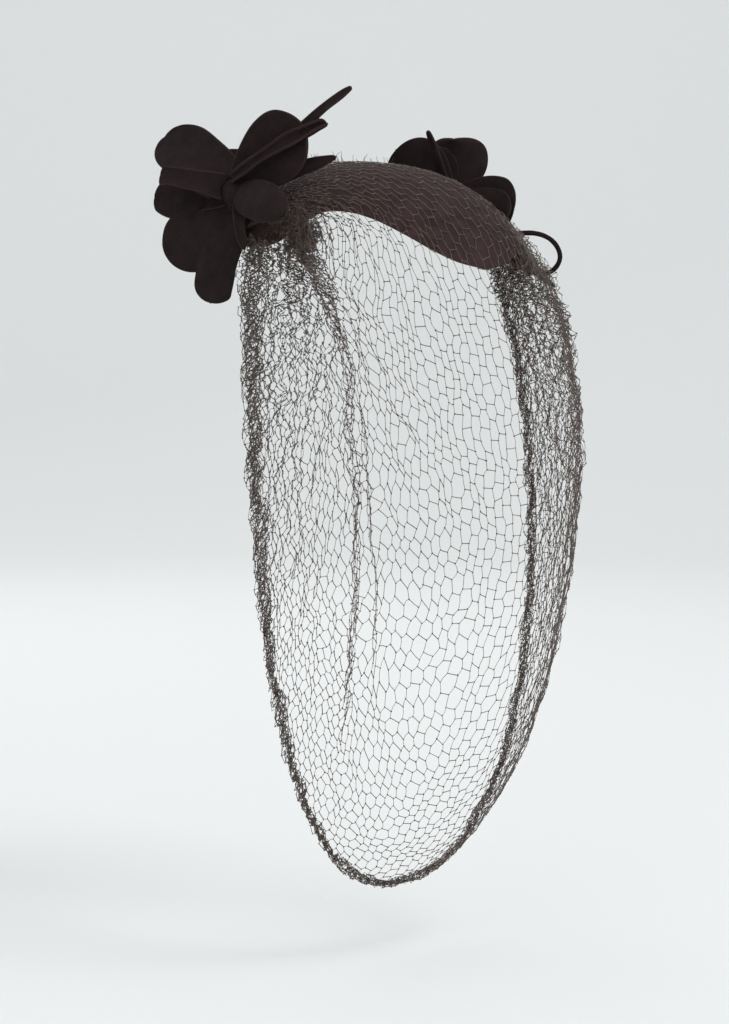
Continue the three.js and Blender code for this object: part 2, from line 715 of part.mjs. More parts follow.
// A flower: its core, and each petal cut clear of the core, the head and the petals before it.
// It returns the solids grown by the clearance, for what is sewn to the flower.
function addFlower(side, frame, petals) {
  const core = toSolid(coreGeometry(frame, 0)).subtract(guard);
  addPiece(`${side}_flower_core`, toGeometry(core), petalFelt);
  const kept = [toSolid(coreGeometry(frame, clearance))];
  for (const petal of petals) {
    let solid = toSolid(petalGeometry(frame, petal, 0)).subtract(guard);
    for (const other of kept) solid = solid.subtract(other);
    kept.push(toSolid(petalGeometry(frame, petal, clearance)));
    addPiece(`${side}_${petal.name}`, toGeometry(solid), petalFelt);
  }
  return kept;
}

// Wired felt cord: a loop that leaves the left flower's low petal, turns outwards and comes back
// to it near its tip. Both ends are cut off flush with the petal.
const cordRoute = [
  [79, -35, -34.5],
  [80.5, -36.5, -33.8],
  [83.2, -38.2, -32.5],
  [86.9, -40.5, -32.2],
  [90.6, -42.8, -32.3],
  [94.8, -45.4, -33.4],
  [98.5, -47.7, -35.7],
  [101.3, -49.5, -39.4],
  [102.7, -50.3, -43.9],
  [102.4, -49.6, -47.8],
  [101, -47.5, -51.2],
  [98.6, -44, -53.6],
  [96, -40.5, -54.2],
];
function addCordLoop(kept) {
  const path = new THREE.CatmullRomCurve3(cordRoute.map(([x, y, z]) => new THREE.Vector3(x, y, z)));
  const section = new THREE.Shape();
  const sides = 8;
  for (let i = 0; i < sides; i += 1) {
    const angle = (i / sides) * 2 * Math.PI;
    const x = (cordDiameter / 2) * Math.cos(angle);
    const y = (cordDiameter / 2) * Math.sin(angle);
    if (i === 0) section.moveTo(x, y);
    else section.lineTo(x, y);
  }
  section.closePath();
  const geometry = new THREE.ExtrudeGeometry(section, { steps: 24, bevelEnabled: false, extrudePath: path });
  let solid = toSolid(geometry);
  for (const other of kept) solid = solid.subtract(other);
  addPiece('left_cord_loop', toGeometry(solid), cordFelt);
}

addPiece('felt_cap', capGeometry(), felt);
addPiece('net_veil', veilGeometry(0), net);
addFlower('right', flowerFrame(-1, 92, 45), rightPetals);
const leftKept = addFlower('left', flowerFrame(1, 88, 43), leftPetals);
addCordLoop(leftKept);

export default group;
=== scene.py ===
"""Looks of a veiled half hat: felt cap, two felt flowers, gathered net veil and a felt cord loop.

Sizes are in millimetres and become metres when a mesh is made. +Z is up, the wearer faces -Y and
the wearer's left is +X. The origin is the top of the head, on the inner face of the felt.
"""

import logging
import math
from dataclasses import dataclass
from enum import Enum

import bmesh
import bpy
import numpy as np
from bpy.types import Material, Node, NodeSocket, NodeTree, Object
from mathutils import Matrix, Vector


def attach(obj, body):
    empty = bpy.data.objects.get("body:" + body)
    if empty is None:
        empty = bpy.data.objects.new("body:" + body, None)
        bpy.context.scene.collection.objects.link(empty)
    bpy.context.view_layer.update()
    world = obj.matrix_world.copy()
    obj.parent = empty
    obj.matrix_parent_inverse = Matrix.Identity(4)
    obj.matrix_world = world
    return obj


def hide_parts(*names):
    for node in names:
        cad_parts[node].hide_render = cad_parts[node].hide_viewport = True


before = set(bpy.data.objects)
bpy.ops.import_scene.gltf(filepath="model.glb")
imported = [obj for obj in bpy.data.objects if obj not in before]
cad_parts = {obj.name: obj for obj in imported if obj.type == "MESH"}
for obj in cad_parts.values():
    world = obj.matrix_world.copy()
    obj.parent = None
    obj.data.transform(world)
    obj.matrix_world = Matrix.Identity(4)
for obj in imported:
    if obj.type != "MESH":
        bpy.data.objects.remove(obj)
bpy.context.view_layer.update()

log = logging.getLogger("veiled_hat")

# Numbers of any shape, rows that a smooth curve is read from, and the three numbers of a place.
Array = np.ndarray
Table = tuple[float, ...]
Triple = tuple[float, float, float]

MM = 0.001
SEED = 1938
UP = np.array([0.0, 0.0, 1.0])
HAT_MIDDLE = (4.0, -5.0, -178.0)
# Places of the two colours and the result among the sockets of a colour mix.
MIX_LOW, MIX_HIGH, MIX_RESULT = 6, 7, 2


class Slot(Enum):
    """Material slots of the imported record."""

    CAP = "cap_felt"
    PETAL = "petal_felt"
    CORD = "cord_felt"
    NET = "net"


# Small tools


def linear(colour: str) -> tuple[float, float, float, float]:
    """Turns an sRGB hex colour into linear light.

    Args:
        colour: six hex digits, with or without a leading hash.

    Returns:
        Red, green, blue and an alpha of one.
    """
    digits = colour.lstrip("#")
    parts = [int(digits[i : i + 2], 16) / 255 for i in (0, 2, 4)]
    light = [p / 12.92 if p <= 0.04045 else ((p + 0.055) / 1.055) ** 2.4 for p in parts]
    return (light[0], light[1], light[2], 1.0)


def add_node(
    tree: NodeTree, kind: str, inputs: dict | None = None, **settings,
) -> Node:
    """Adds a node with its settings, values and links.

    Args:
        tree: the shader or geometry tree.
        kind: the node's type name.
        inputs: values, or sockets to link from, by the input's name or number.
        **settings: attributes of the node.

    Returns:
        The new node.
    """
    node = tree.nodes.new(kind)
    for name, value in settings.items():
        setattr(node, name, value)
    for key, value in (inputs or {}).items():
        if isinstance(value, NodeSocket):
            tree.links.new(value, node.inputs[key])
        else:
            node.inputs[key].default_value = value
    return node


def smooth(x: Array) -> Array:
    """Smooth step from 0 to 1."""
    k = np.clip(x, 0.0, 1.0)
    return k * k * (3 - 2 * k)


def through(at: Table, values: Table, x: Array) -> Array:
    """Reads a smooth curve that runs through the rows of a table.

    Args:
        at: the rows' places, rising.
        values: the rows' values.
        x: the places to read.

    Returns:
        The values there.
    """
    place = np.asarray(at, float)
    value = np.asarray(values, float)
    x = np.clip(np.asarray(x, float), place[0], place[-1])
    wide = np.concatenate([[2 * place[0] - place[1]], place, [2 * place[-1] - place[-2]]])
    tall = np.concatenate([[2 * value[0] - value[1]], value, [2 * value[-1] - value[-2]]])
    i = np.clip(np.searchsorted(place, x, side="right") - 1, 0, len(place) - 2)
    step = place[i + 1] - place[i]
    k = (x - place[i]) / step
    m0 = (tall[i + 2] - tall[i]) / (wide[i + 2] - wide[i]) * step
    m1 = (tall[i + 3] - tall[i + 1]) / (wide[i + 3] - wide[i + 1]) * step
    return (
        (2 * k**3 - 3 * k**2 + 1) * value[i]
        + (k**3 - 2 * k**2 + k) * m0
        + (-2 * k**3 + 3 * k**2) * value[i + 1]
        + (k**3 - k**2) * m1
    )


def round_turns(count: int) -> Array:
    """Turns spread evenly round a circle, in radians."""
    return np.linspace(0, 2 * math.pi, count, endpoint=False)


def lengths_of(v: Array) -> Array:
    """Lengths of vectors."""
    return np.linalg.norm(v, axis=-1)


def unit(v: Array) -> Array:
    """Vectors of length one."""
    return v / np.maximum(np.linalg.norm(v, axis=-1, keepdims=True), 1e-9)


class Waves:
    """Smooth random values over a plane or in space: a sum of waves with fixed random directions."""

    SPREAD = (0.6, 1.5)

    def __init__(self, seed: int, dimensions: int, count: int = 14) -> None:
        """Draws the waves.

        Args:
            seed: makes the same waves each run.
            dimensions: 2 for a plane, 3 for space.
            count: how many waves are summed.
        """
        rng = np.random.default_rng(seed)
        self.ways = unit(rng.normal(size=(count, dimensions))) * rng.uniform(*self.SPREAD, (count, 1))
        self.phases = rng.uniform(0, 2 * math.pi, count)

    def at(self, points: Array, wavelength: float) -> Array:
        """Values of about -1 to 1 at points, for a typical wavelength in the same unit."""
        turns = points @ self.ways.T * (2 * math.pi / wavelength) + self.phases
        return np.sin(turns).sum(-1) / math.sqrt(len(self.phases))


def turned(vector: Array, axis: Array, angle: float) -> Array:
    """A vector turned about a unit axis by an angle in radians."""
    along_axis = axis * float(vector @ axis)
    return along_axis + (vector - along_axis) * math.cos(angle) + np.cross(axis, vector) * math.sin(angle)


def make_object(name: str, points: Array, faces: list, edges: list | None = None) -> Object:
    """Makes a mesh object at the origin.

    Args:
        name: the piece's name.
        points: corners in millimetres.
        faces: lists of corner numbers.
        edges: pairs of corner numbers, for a mesh without faces.

    Returns:
        The object, linked to the scene.
    """
    mesh = bpy.data.meshes.new(name)
    mesh.from_pydata((np.asarray(points) * MM).tolist(), edges or [], faces)
    mesh.update()
    thing = bpy.data.objects.new(name, mesh)
    bpy.context.scene.collection.objects.link(thing)
    return thing


def settle(thing: Object) -> None:
    """Turns what an object's modifiers make into its own plain mesh."""
    graph = bpy.context.evaluated_depsgraph_get()
    made = bpy.data.meshes.new_from_object(thing.evaluated_get(graph))
    old = thing.data
    thing.modifiers.clear()
    thing.data = made
    bpy.data.meshes.remove(old)


def soft_shade(thing: Object, angle: float = 40.0) -> None:
    """Shades a mesh smooth, with crisp edges past an angle in degrees."""
    thing.data.shade_smooth()
    thing.data.set_sharp_from_angle(angle=math.radians(angle))


def finish_piece(thing: Object, nodes: list[str]) -> None:
    """Puts a finished piece on the root body, in place of its CAD nodes."""
    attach(thing, "root")
    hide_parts(*nodes)
    log.info("%s: %d triangles", thing.name, sum(len(p.vertices) - 2 for p in thing.data.polygons))


def point_values(thing: Object, name: str, kind: str, values: Array) -> None:
    """Gives each corner of a mesh a value under a name."""
    thing.data.attributes.new(name, kind, "POINT").data.foreach_set("value", values)


def ring_faces(rings: int, around: int, first: int, last: int | None = None) -> list[list[int]]:
    """Lays faces between closed rings of corners that are numbered ring after ring.

    Args:
        rings: how many rings.
        around: corners in each ring.
        first: the corner that closes the first ring.
        last: the corner that closes the last ring, if it is closed.

    Returns:
        Lists of corner numbers.
    """
    faces = []
    for low in range(0, (rings - 1) * around, around):
        for j in range(around):
            k = (j + 1) % around
            faces.append([low + j, low + k, low + around + k, low + around + j])
    low = (rings - 1) * around
    for j in range(around):
        k = (j + 1) % around
        faces.append([first, k, j])
        if last is not None:
            faces.append([last, low + j, low + k])
    return faces


def closed_rings(name: str, rings: Array, first: Array, last: Array) -> Object:
    """Makes a closed mesh of rings of corners, with its faces turned outwards.

    Args:
        name: the piece's name.
        rings: rings by corners by three, in millimetres.
        first: the corner before the first ring.
        last: the corner after the last ring.

    Returns:
        The object.
    """
    count, around = rings.shape[:2]
    corners = np.concatenate([rings.reshape(-1, 3), [first, last]])
    thing = make_object(name, corners, ring_faces(count, around, count * around, count * around + 1))
    turn_outwards(thing)
    return thing


# Finishes


def start_material(name: str, settings: dict) -> tuple[Material, Node]:
    """Makes a material, and gives its Principled shader the plain values of its inputs."""
    material = bpy.data.materials.new(name)
    material.use_nodes = True
    shader = material.node_tree.nodes["Principled BSDF"]
    for key, value in settings.items():
        shader.inputs[key].default_value = value
    return material, shader


def noise(tree: NodeTree, per_metre: float, **inputs: float) -> NodeSocket:
    """Noise on the object's own coordinates, by how many of its patches make a metre."""
    place = add_node(tree, "ShaderNodeTexCoord").outputs["Object"]
    return add_node(
        tree, "ShaderNodeTexNoise", {"Vector": place, "Scale": per_metre, **inputs},
    ).outputs["Fac"]


def stretched(
    tree: NodeTree, value: NodeSocket, low: float, high: float,
) -> NodeSocket:
    """A value stretched so that low becomes 0 and high becomes 1."""
    node = add_node(tree, "ShaderNodeMapRange", {"Value": value, "From Min": low, "From Max": high})
    return node.outputs[0]


def mixed(
    tree: NodeTree, share: NodeSocket, low: object, high: object,
) -> NodeSocket:
    """A colour between two others, each a colour or a socket."""
    inputs = {"Factor": share, MIX_LOW: low, MIX_HIGH: high}
    return add_node(tree, "ShaderNodeMix", inputs, data_type="RGBA").outputs[MIX_RESULT]


@dataclass(frozen=True)
class WoolFelt:
    """Pressed wool felt: matt, with a short nap that catches light at grazing angles."""

    name: str
    dark: str
    light: str
    # The nap's sheen colour; it is also the colour of the painted highlight on cut edges.
    nap: str
    sheen: float
    mottle_mm: float = 9.0
    fibre_mm: float = 0.7
    darkest: float = 0.62
    lightest: float = 1.38
    bump: float = 0.8
    bump_mm: float = 0.4

    def build(self) -> Material:
        """Makes the material: mottled dye, fine fibres in the bump, a painted highlight on cut edges."""
        material, shader = start_material(self.name, {
            "Roughness": 0.95, "IOR": 1.45, "Specular IOR Level": 0.2, "Sheen Weight": self.sheen,
            "Sheen Roughness": 0.45, "Sheen Tint": linear(self.nap),
        })
        tree = material.node_tree
        # Broad soft patches where the dye took unevenly: the eye reads handled wool, not one flat paint.
        mottle = noise(tree, 1 / (self.mottle_mm * MM), Detail=5.0, Roughness=0.62)
        # Matted fibres as a dry dull grain. Real ones are far too fine to show, so they are drawn coarser.
        fibre = noise(tree, 1 / (self.fibre_mm * MM), Detail=4.0, Roughness=0.7, Distortion=0.6)
        both = add_node(tree, "ShaderNodeMath", {0: mottle, 1: fibre}, operation="ADD").outputs[0]
        share = stretched(tree, both, self.darkest, self.lightest)
        dyed = mixed(tree, share, linear(self.dark), linear(self.light))
        # Painted highlight: cut edges are mixed towards the nap colour by the rim value, so each petal's
        # outline reads.
        rim = add_node(tree, "ShaderNodeAttribute", attribute_name="rim").outputs["Fac"]
        tree.links.new(mixed(tree, rim, dyed, linear(self.nap)), shader.inputs["Base Color"])
        # The same two patterns as relief break up the light, so the surface looks soft and rough.
        relief = {"Height": both, "Strength": self.bump, "Distance": self.bump_mm * MM}
        tree.links.new(add_node(tree, "ShaderNodeBump", relief).outputs[0], shader.inputs["Normal"])
        return material


@dataclass(frozen=True)
class NetThread:
    """Twisted rayon net thread: brown, a little glossy, so it reads light on felt and dark on white."""

    name: str = "rayon_net_thread"
    dark: str = "#2c1e16"
    light: str = "#564032"
    patches_per_metre: float = 220.0
    darkest: float = 0.3
    lightest: float = 0.7

    def build(self) -> Material:
        """Makes the material: a brown that changes from thread to thread."""
        material, shader = start_material(self.name, {"Roughness": 0.5, "IOR": 1.5, "Sheen Weight": 0.2})
        tree = material.node_tree
        # Some threads darker than others, as their twist turns to and from the light. The twist is too
        # fine to show, so the change is drawn coarser, about a cell wide.
        patch = noise(tree, self.patches_per_metre, Detail=2.0)
        share = stretched(tree, patch, self.darkest, self.lightest)
        colour = mixed(tree, share, linear(self.dark), linear(self.light))
        tree.links.new(colour, shader.inputs["Base Color"])
        return material


@dataclass(frozen=True)
class PaleFloor:
    """Painted studio floor: matt and pale."""

    name: str = "pale_studio_paint"
    colour: str = "#e4e5e5"

    def build(self) -> Material:
        """Makes the material: even and matt, so that the floor gives only a soft shadow."""
        settings = {"Base Color": linear(self.colour), "Roughness": 0.9, "Specular IOR Level": 0.1}
        return start_material(self.name, settings)[0]


# The head form and the felt cap


@dataclass(frozen=True)
class HeadForm:
    """Rounded box-like ellipsoid that the felt and the net lie on."""

    half_width: float = 80.0
    half_length: float = 104.0
    height: float = 88.0
    squareness: float = 2.3
    set_back: float = 2.0
    least_share: float = 0.02

    def point(self, direction: Array, offset: float) -> Array:
        """Points of the form in directions from its centre, raised by an offset."""
        p = self.squareness
        sizes = np.array([self.half_width, self.half_length, self.height]) + offset
        size = (np.abs(direction / sizes) ** p).sum(-1, keepdims=True) ** (-1 / p)
        return direction * size + self.centre()

    def centre(self) -> Array:
        """Centre of the form."""
        return np.array([0.0, self.set_back, -self.height])

    def direction(self, turn: Array, tilt: Array) -> Array:
        """Directions by turn from the front and tilt from the top, in radians."""
        return np.stack(
            [np.sin(tilt) * np.sin(turn), -np.sin(tilt) * np.cos(turn), np.cos(tilt) + 0 * turn], -1
        )

    def side(self, y: Array, z: Array, offset: float) -> Array:
        """Sideways reach of the form at places y and z."""
        p = self.squareness
        left = (
            1
            - np.abs((y - self.set_back) / (self.half_length + offset)) ** p
            - np.abs((z + self.height) / (self.height + offset)) ** p
        )
        return (self.half_width + offset) * np.maximum(left, self.least_share) ** (1 / p)


@dataclass
class FeltCap:
    """Moulded felt half hat with a heart-shaped front edge and a tab under each flower.

    The rim rows each give a height, as a share of the thickness, and how far the edge is drawn in,
    in degrees. swell and swell_length are the soft unevenness of the felt, in millimetres.
    """

    head: HeadForm
    thickness: float = 2.0
    reach_deg: float = 73.7
    rings: int = 40
    sectors: int = 216
    skin_tuck: float = 0.3
    rim_rows: tuple = ((0.86, 0.06), (0.5, -0.06), (0.14, 0.06))
    # Painted highlight along the cut edge: lightness of the last outer ring, the three edge rows and the last
    # inner ring.
    rim_painted_highlight: tuple = (0.25, 0.5, 0.6, 0.5, 0.25)
    swell: float = 0.22
    swell_length: float = 38.0
    crease_deg: float = 60.0
    edge_turn: Table = (0, 10, 17.5, 25, 33, 42, 52, 59, 65, 71, 79, 88, 97, 110, 126, 145, 165, 180)
    edge_share: Table = (
        0.971, 0.943, 0.893, 0.821, 0.746, 0.689, 0.666, 0.7, 0.755,
        0.79, 0.79, 0.785, 0.76, 0.7, 0.57, 0.42, 0.353, 0.34,
    )

    def skin(self, offset: float, shares: Array, rim: float) -> Array:
        """Points of one skin: rings by sectors.

        Args:
            offset: height over the head form.
            shares: ring places from the top to the edge.
            rim: how far the outermost rings are drawn in, in degrees.

        Returns:
            An array of rings by sectors by three.
        """
        turn = round_turns(self.sectors)
        folded = np.degrees(np.minimum(turn, 2 * math.pi - turn))
        edge = np.radians(self.reach_deg * through(self.edge_turn, self.edge_share, folded) - rim)
        tilt = shares[:, None] * edge[None, :]
        wide = np.broadcast_to(turn, tilt.shape)
        return self.head.point(self.head.direction(wide, tilt), offset)

    def build(self, felt: Material) -> Object:
        """Makes the cap: outer skin, rounded cut edge and inner skin in one closed mesh."""
        shares = np.linspace(0, 1, self.rings + 1)[1:]
        outer = self.skin(self.thickness, shares, self.skin_tuck)
        inner = self.skin(0.0, shares, self.skin_tuck)
        rims = [self.skin(self.thickness * height, np.array([1.0]), tuck) for height, tuck in self.rim_rows]
        loops = np.concatenate([outer, *rims, inner[::-1]])
        push = self.swell * Waves(SEED, 3).at(loops, self.swell_length)
        loops = loops + unit(loops - self.head.centre()) * push[..., None]
        ends = [self.head.point(UP, offset) for offset in (self.thickness, 0.0)]
        cap = closed_rings("felt_cap_moulded", loops, *ends)
        # Painted highlight: the rings at the cut edge get the rim value that lightens the felt there.
        rim = np.zeros(len(cap.data.vertices), np.float32)
        first = (self.rings - 1) * self.sectors
        rim[first : first + len(self.rim_painted_highlight) * self.sectors] = np.repeat(self.rim_painted_highlight, self.sectors)
        point_values(cap, "rim", "FLOAT", rim)
        soft_shade(cap, self.crease_deg)
        cap.data.materials.append(felt)
        finish_piece(cap, ["felt_cap"])
        return cap


# The net veil


@dataclass(frozen=True)
class Fold:
    """A fold down the veil where the net doubles over itself.

    centre, width: across the cloth, as shares of its half width; start, end: rows where it begins
    and ends; over: how far each layer passes the other; height: how far it stands out, both in
    millimetres; lean: how far its centre moves across from its start to its end; rises, fades: rows
    it takes to begin and end; tail, halo: how many widths its pull and its crumples reach.
    """

    centre: float
    width: float
    start: float
    end: float
    over: float
    height: float
    lean: float = 0.0
    rises: float = 0.1
    fades: float = 0.12
    tail: float = 2.5
    halo: float = 2.2

    def window(self, row: Array) -> Array:
        """Strength along the rows, from 0 to 1."""
        return smooth((row - self.start) / self.rises) * smooth((self.end - row) / self.fades)

    def across(self, share: Array, row: Array) -> Array:
        """Place across the fold, in widths from its centre."""
        way = np.clip((row - self.start) / (self.end - self.start), 0, 1)
        return (share - self.centre - self.lean * way) / self.width

    def shift(self, share: Array, row: Array) -> Array:
        """Sideways move of the cloth, in millimetres."""
        x = self.across(share, row)
        near = x * np.exp(0.5 * (1 - x * x))
        far = np.sign(x) / (1 + (np.maximum(np.abs(x) - 1, 0) / self.tail) ** 2)
        return -self.over * np.where(np.abs(x) < 1, near, far) * self.window(row)

    def near(self, share: Array, row: Array) -> Array:
        """Nearness to the fold, from 0 to 1, reaching past its sides."""
        return np.exp(-((self.across(share, row) / self.halo) ** 2)) * self.window(row)

    def ridge(self, share: Array, row: Array) -> Array:
        """Outward move of the cloth, in millimetres."""
        return self.height * np.exp(-self.across(share, row) ** 2) * self.window(row)


@dataclass(frozen=True)
class Frizz:
    """Loose thread ends: how many, how long in millimetres, and how far they scatter and bend."""

    count: int
    shortest: float
    longest: float
    scatter: float
    bend: float

    def grow(self, rng: np.random.Generator, foot: Array, lean: Array) -> Array:
        """Makes threads of three points that lean one way from their feet, each a little off it."""
        way = unit(lean + rng.normal(size=(self.count, 3)) * self.scatter)
        length = rng.uniform(self.shortest, self.longest, (self.count, 1))
        bend = rng.normal(size=(self.count, 3)) * self.bend
        return np.stack([foot, foot + way * length * 0.5 + bend, foot + way * length], 1)


@dataclass
class NetVeil:
    """Net veil: one strip of six-sided net, gathered under both flowers and rolled at its lower edge.

    The cloth's sizes are flat ones in millimetres. The tables run down the veil by row, 0 at the
    edge on the crown and 1 at the rolled edge, as shares of the head's sizes, of the drop and of the
    half width. A crumple_, drift_, sway_, wobble_ or crush_length is a wave's length in millimetres.
    """

    head: HeadForm
    grid_rows: int = 201
    grid_columns: int = 481
    walk_steps: int = 121
    least_bulge: float = 1.02
    least_step: float = 0.5
    drop: float = 371.0
    forward: float = 130.0
    half_width: float = 107.0
    cloth_half: float = 455.0
    cloth_at: Table = (0, 366, 490)
    cloth_row: Table = (0, 0.8, 0.99)
    rolled_cloth: float = 110.0
    crown_cloth: float = 114.0
    edge_cloth: float = 436.0
    face_cloth: float = 110.0
    offset: float = 2.65
    cell_width: float = 5.3
    cell_height: float = 8.8
    bar_length: float = 4.3
    thread_radius: float = 0.14
    bar_radius: float = 0.21
    knot_radius: float = 0.52
    knot_sides: int = 4
    knot_rings: int = 2
    knot_turn: tuple = (6.28, 6.28, 6.28)
    knot_least: tuple = (0.75, 0.75, 0.7)
    knot_most: tuple = (1.3, 1.2, 1.0)
    knot_seeds: tuple[int, int] = (3, 5)
    roll_at: Table = (-1, -0.75, -0.5, -0.25, 0, 0.25, 0.6, 1)
    roll_radius: Table = (7.0, 7.2, 6.0, 3.6, 3.0, 3.2, 3.8, 4.2)
    roll_wobble: float = 0.22
    roll_wobble_length: float = 30.0
    roll_winding: float = 0.75
    roll_look_back: float = 0.012
    roll_crush: float = 0.3
    roll_crush_length: float = 11.0
    roll_crush_start: float = 6.0
    roll_taper: float = 0.7
    roll_flatness: float = 0.7
    row_at: Table = (0, 0.1, 0.2, 0.3, 0.4, 0.5, 0.6, 0.7, 0.8, 0.9, 1)
    gather_front: Table = (-0.038, 0.067, 0.173, 0.269, 0.346, 0.385, 0.365, 0.308, 0.231, 0.144, 0.058)
    gather_down: Table = (0.398, 0.352, 0.33, 0.341, 0.375, 0.42, 0.466, 0.489, 0.489, 0.466, 0.432)
    left_gather_front: Table = (-0.038, 0.067, 0.173, 0.269, 0.346, 0.395, 0.4, 0.385, 0.35, 0.31, 0.28)
    mid_front: Table = (-0.292, 0, 0.423, 0.792, 0.908, 0.985, 1, 0.908, 0.746, 0.523, 0.277)
    mid_down: Table = (0.032, -0.008, 0.022, 0.146, 0.27, 0.399, 0.518, 0.647, 0.782, 0.906, 1)
    right: Table = (0.65, 0.65, 0.65, 0.69, 0.71, 0.72, 0.77, 0.78, 0.79, 0.79, 0.79)
    left: Table = (0.65, 0.65, 0.65, 0.69, 0.72, 0.74, 0.765, 0.8, 0.855, 0.91, 0.96)
    leaves_crown: float = 0.27
    hangs_free: float = 0.4
    right_fullness: float = 2.5
    left_fullness: Table = (2.15, 2.15, 2.15, 2.0, 1.75, 1.7, 1.72, 1.8, 1.95, 2.15, 2.15)
    crumple: float = 4.2
    crumple_length: float = 15.0
    crumple_stretch: float = 0.35
    crumple_on_crown: float = 0.35
    fine_crumple: float = 0.5
    fine_crumple_length: float = 7.0
    fold_crumple: float = 0.8
    ridge_crush: float = 0.7
    ridge_crush_length: float = 12.0
    loosens_from: float = 0.15
    loosens_over: float = 0.2
    touching: float = 1.5
    pressed: float = 0.6
    drift: float = 0.5
    bunched_drift: float = 1.5
    drift_length: float = 26.0
    knot_scatter: tuple[float, float] = (0.34, 0.5)
    knot_sway: tuple[float, float] = (0.8, 1.1)
    knot_sway_length: float = 34.0
    bar_bend: float = 0.05
    side_bend: float = 0.22
    thread_spread: tuple[float, float] = (0.85, 1.15)
    thread_sides: int = 3
    loose_thread: float = 0.85
    whisker: Frizz = Frizz(900, 2.0, 7.0, 0.45, 0.5)
    whisker_from: float = -0.45
    whisker_to: float = 0.35
    whisker_at_back: float = 0.4
    whisker_ridge: float = 32.0
    whisker_band: float = 16.0
    tuft: Frizz = Frizz(2600, 4.0, 13.0, 0.55, 1.1)
    tuft_from: float = 0.66
    tuft_rows: tuple[float, float] = (95.0, 215.0)
    tuft_fall: Triple = (0.0, -0.25, -0.6)
    folds: tuple[Fold, ...] = (
        Fold(-0.475, 0.022, 0.33, 0.9, 10.0, 3.0, 0.27),
        Fold(-0.43, 0.024, 0.33, 0.92, 10.0, 4.5, 0.265),
        Fold(-0.385, 0.022, 0.34, 0.86, 9.0, 3.0, 0.26),
        Fold(0.47, 0.03, 0.36, 0.8, 8.0, 3.0, -0.08),
    )

    def __post_init__(self) -> None:
        """Lays the veil's surface out as a grid of rows and shares that places are read from."""
        waves = [Waves(SEED + k, 2) for k in range(8)]
        self.crumple_waves, self.fine_waves, self.roll_waves = waves[0], waves[6], waves[7]
        self.drift_waves, self.sway_waves = waves[1:4], waves[4:6]
        self.rows = np.linspace(0, 1, self.grid_rows)
        self.shares = np.linspace(-1, 1, self.grid_columns)
        grid = np.zeros((len(self.rows), len(self.shares), 3))
        for i, row in enumerate(self.rows):
            for sign in (-1, 1):
                picked = self.shares * sign >= 0
                grid[i, picked] = self.walk(float(row), sign, np.abs(self.shares[picked]))
        self.grid = self.lift(grid)
        down = np.gradient(self.grid, axis=0)
        across = np.gradient(self.grid, axis=1)
        self.normals = -unit(np.cross(across, down))
        self.normals[:, :1] = self.normals[:, 1:2]
        self.normals[:, -1:] = self.normals[:, -2:-1]
        self.squeeze()

    def row_ends(self, row: float, sign: int) -> dict[str, float]:
        """End, middle, widest reach and fullness of a row on one side, in millimetres."""

        def at(table: Table) -> float:
            """Reads a table at the row."""
            return float(through(self.row_at, table, row))

        right = sign < 0
        y = -self.head.half_length * at(self.gather_front if right else self.left_gather_front)
        z = -self.head.height * at(self.gather_down)
        return {
            "x": float(self.head.side(np.array(y), np.array(z), self.offset)),
            "y": y,
            "z": z,
            "mid_y": -self.forward * at(self.mid_front),
            "mid_z": -self.drop * at(self.mid_down),
            "reach": self.half_width * at(self.right if right else self.left),
            "fullness": self.right_fullness if right else at(self.left_fullness),
        }

    def on_crown(self, r: dict[str, float], side: Array) -> Array:
        """Points of a row that lies on the crown; side runs from -1 at one gather to 1 at the other."""
        set_back, height = self.head.set_back, self.head.height
        mid_tilt = math.atan2(-(r["mid_y"] - set_back), r["mid_z"] + height)
        end_tilt = math.atan2(-(r["y"] - set_back), r["z"] + height)
        span = math.hypot(r["x"], r["y"] - set_back, r["z"] + height)
        swing = side * math.asin(r["x"] / span)
        tilt = mid_tilt + (end_tilt - mid_tilt) * side * side
        direction = np.stack(
            [np.sin(swing), -np.cos(swing) * np.sin(tilt), np.cos(swing) * np.cos(tilt)], -1
        )
        return self.head.point(direction, self.offset)

    def hanging(self, r: dict[str, float], side: Array) -> Array:
        """Points of a row that hangs free: a full, rounded U between the gathers."""
        sign = -1 if side[-1] < 0 else 1
        fullness = r["fullness"]
        reach = max(r["reach"], r["x"] * self.least_bulge)
        start = math.acos((r["x"] / reach) ** (fullness / 2))
        back = math.sin(start) ** (2 / fullness)
        angle = (math.pi / 2 + start) * (1 - np.abs(side)) - start
        out = reach * np.maximum(np.cos(angle), 0) ** (2 / fullness)
        rise = np.sign(np.sin(angle)) * np.abs(np.sin(angle)) ** (2 / fullness)
        down = (rise + back) / (1 + back)
        return np.stack(
            [sign * out, r["y"] + (r["mid_y"] - r["y"]) * down, r["z"] + (r["mid_z"] - r["z"]) * down], -1
        )

    def walk(self, row: float, sign: int, shares: Array) -> Array:
        """Points along one side of a row, walked by the cloth's length.

        The cloth keeps its width in front and bunches up towards the gathers.

        Args:
            row: 0 at the edge on the crown, 1 at the rolled edge.
            sign: -1 for the wearer's right, 1 for the left.
            shares: places from 0 in the middle to 1 at the gather.

        Returns:
            One point for each share.
        """
        r = self.row_ends(row, sign)
        side = sign * np.linspace(0, 1, self.walk_steps)
        free = float(smooth(np.array((row - self.leaves_crown) / (self.hangs_free - self.leaves_crown))))
        line = self.on_crown(r, side) * (1 - free) + self.hanging(r, side) * free
        lengths = np.concatenate([[0], np.cumsum(np.linalg.norm(np.diff(line, axis=0), axis=1))])
        bunching = max(self.cloth_half / lengths[-1], 1)
        walked = lengths[-1] * (1 - (1 - shares) ** bunching)
        return np.stack([np.interp(walked, lengths, line[:, k]) for k in range(3)], -1)

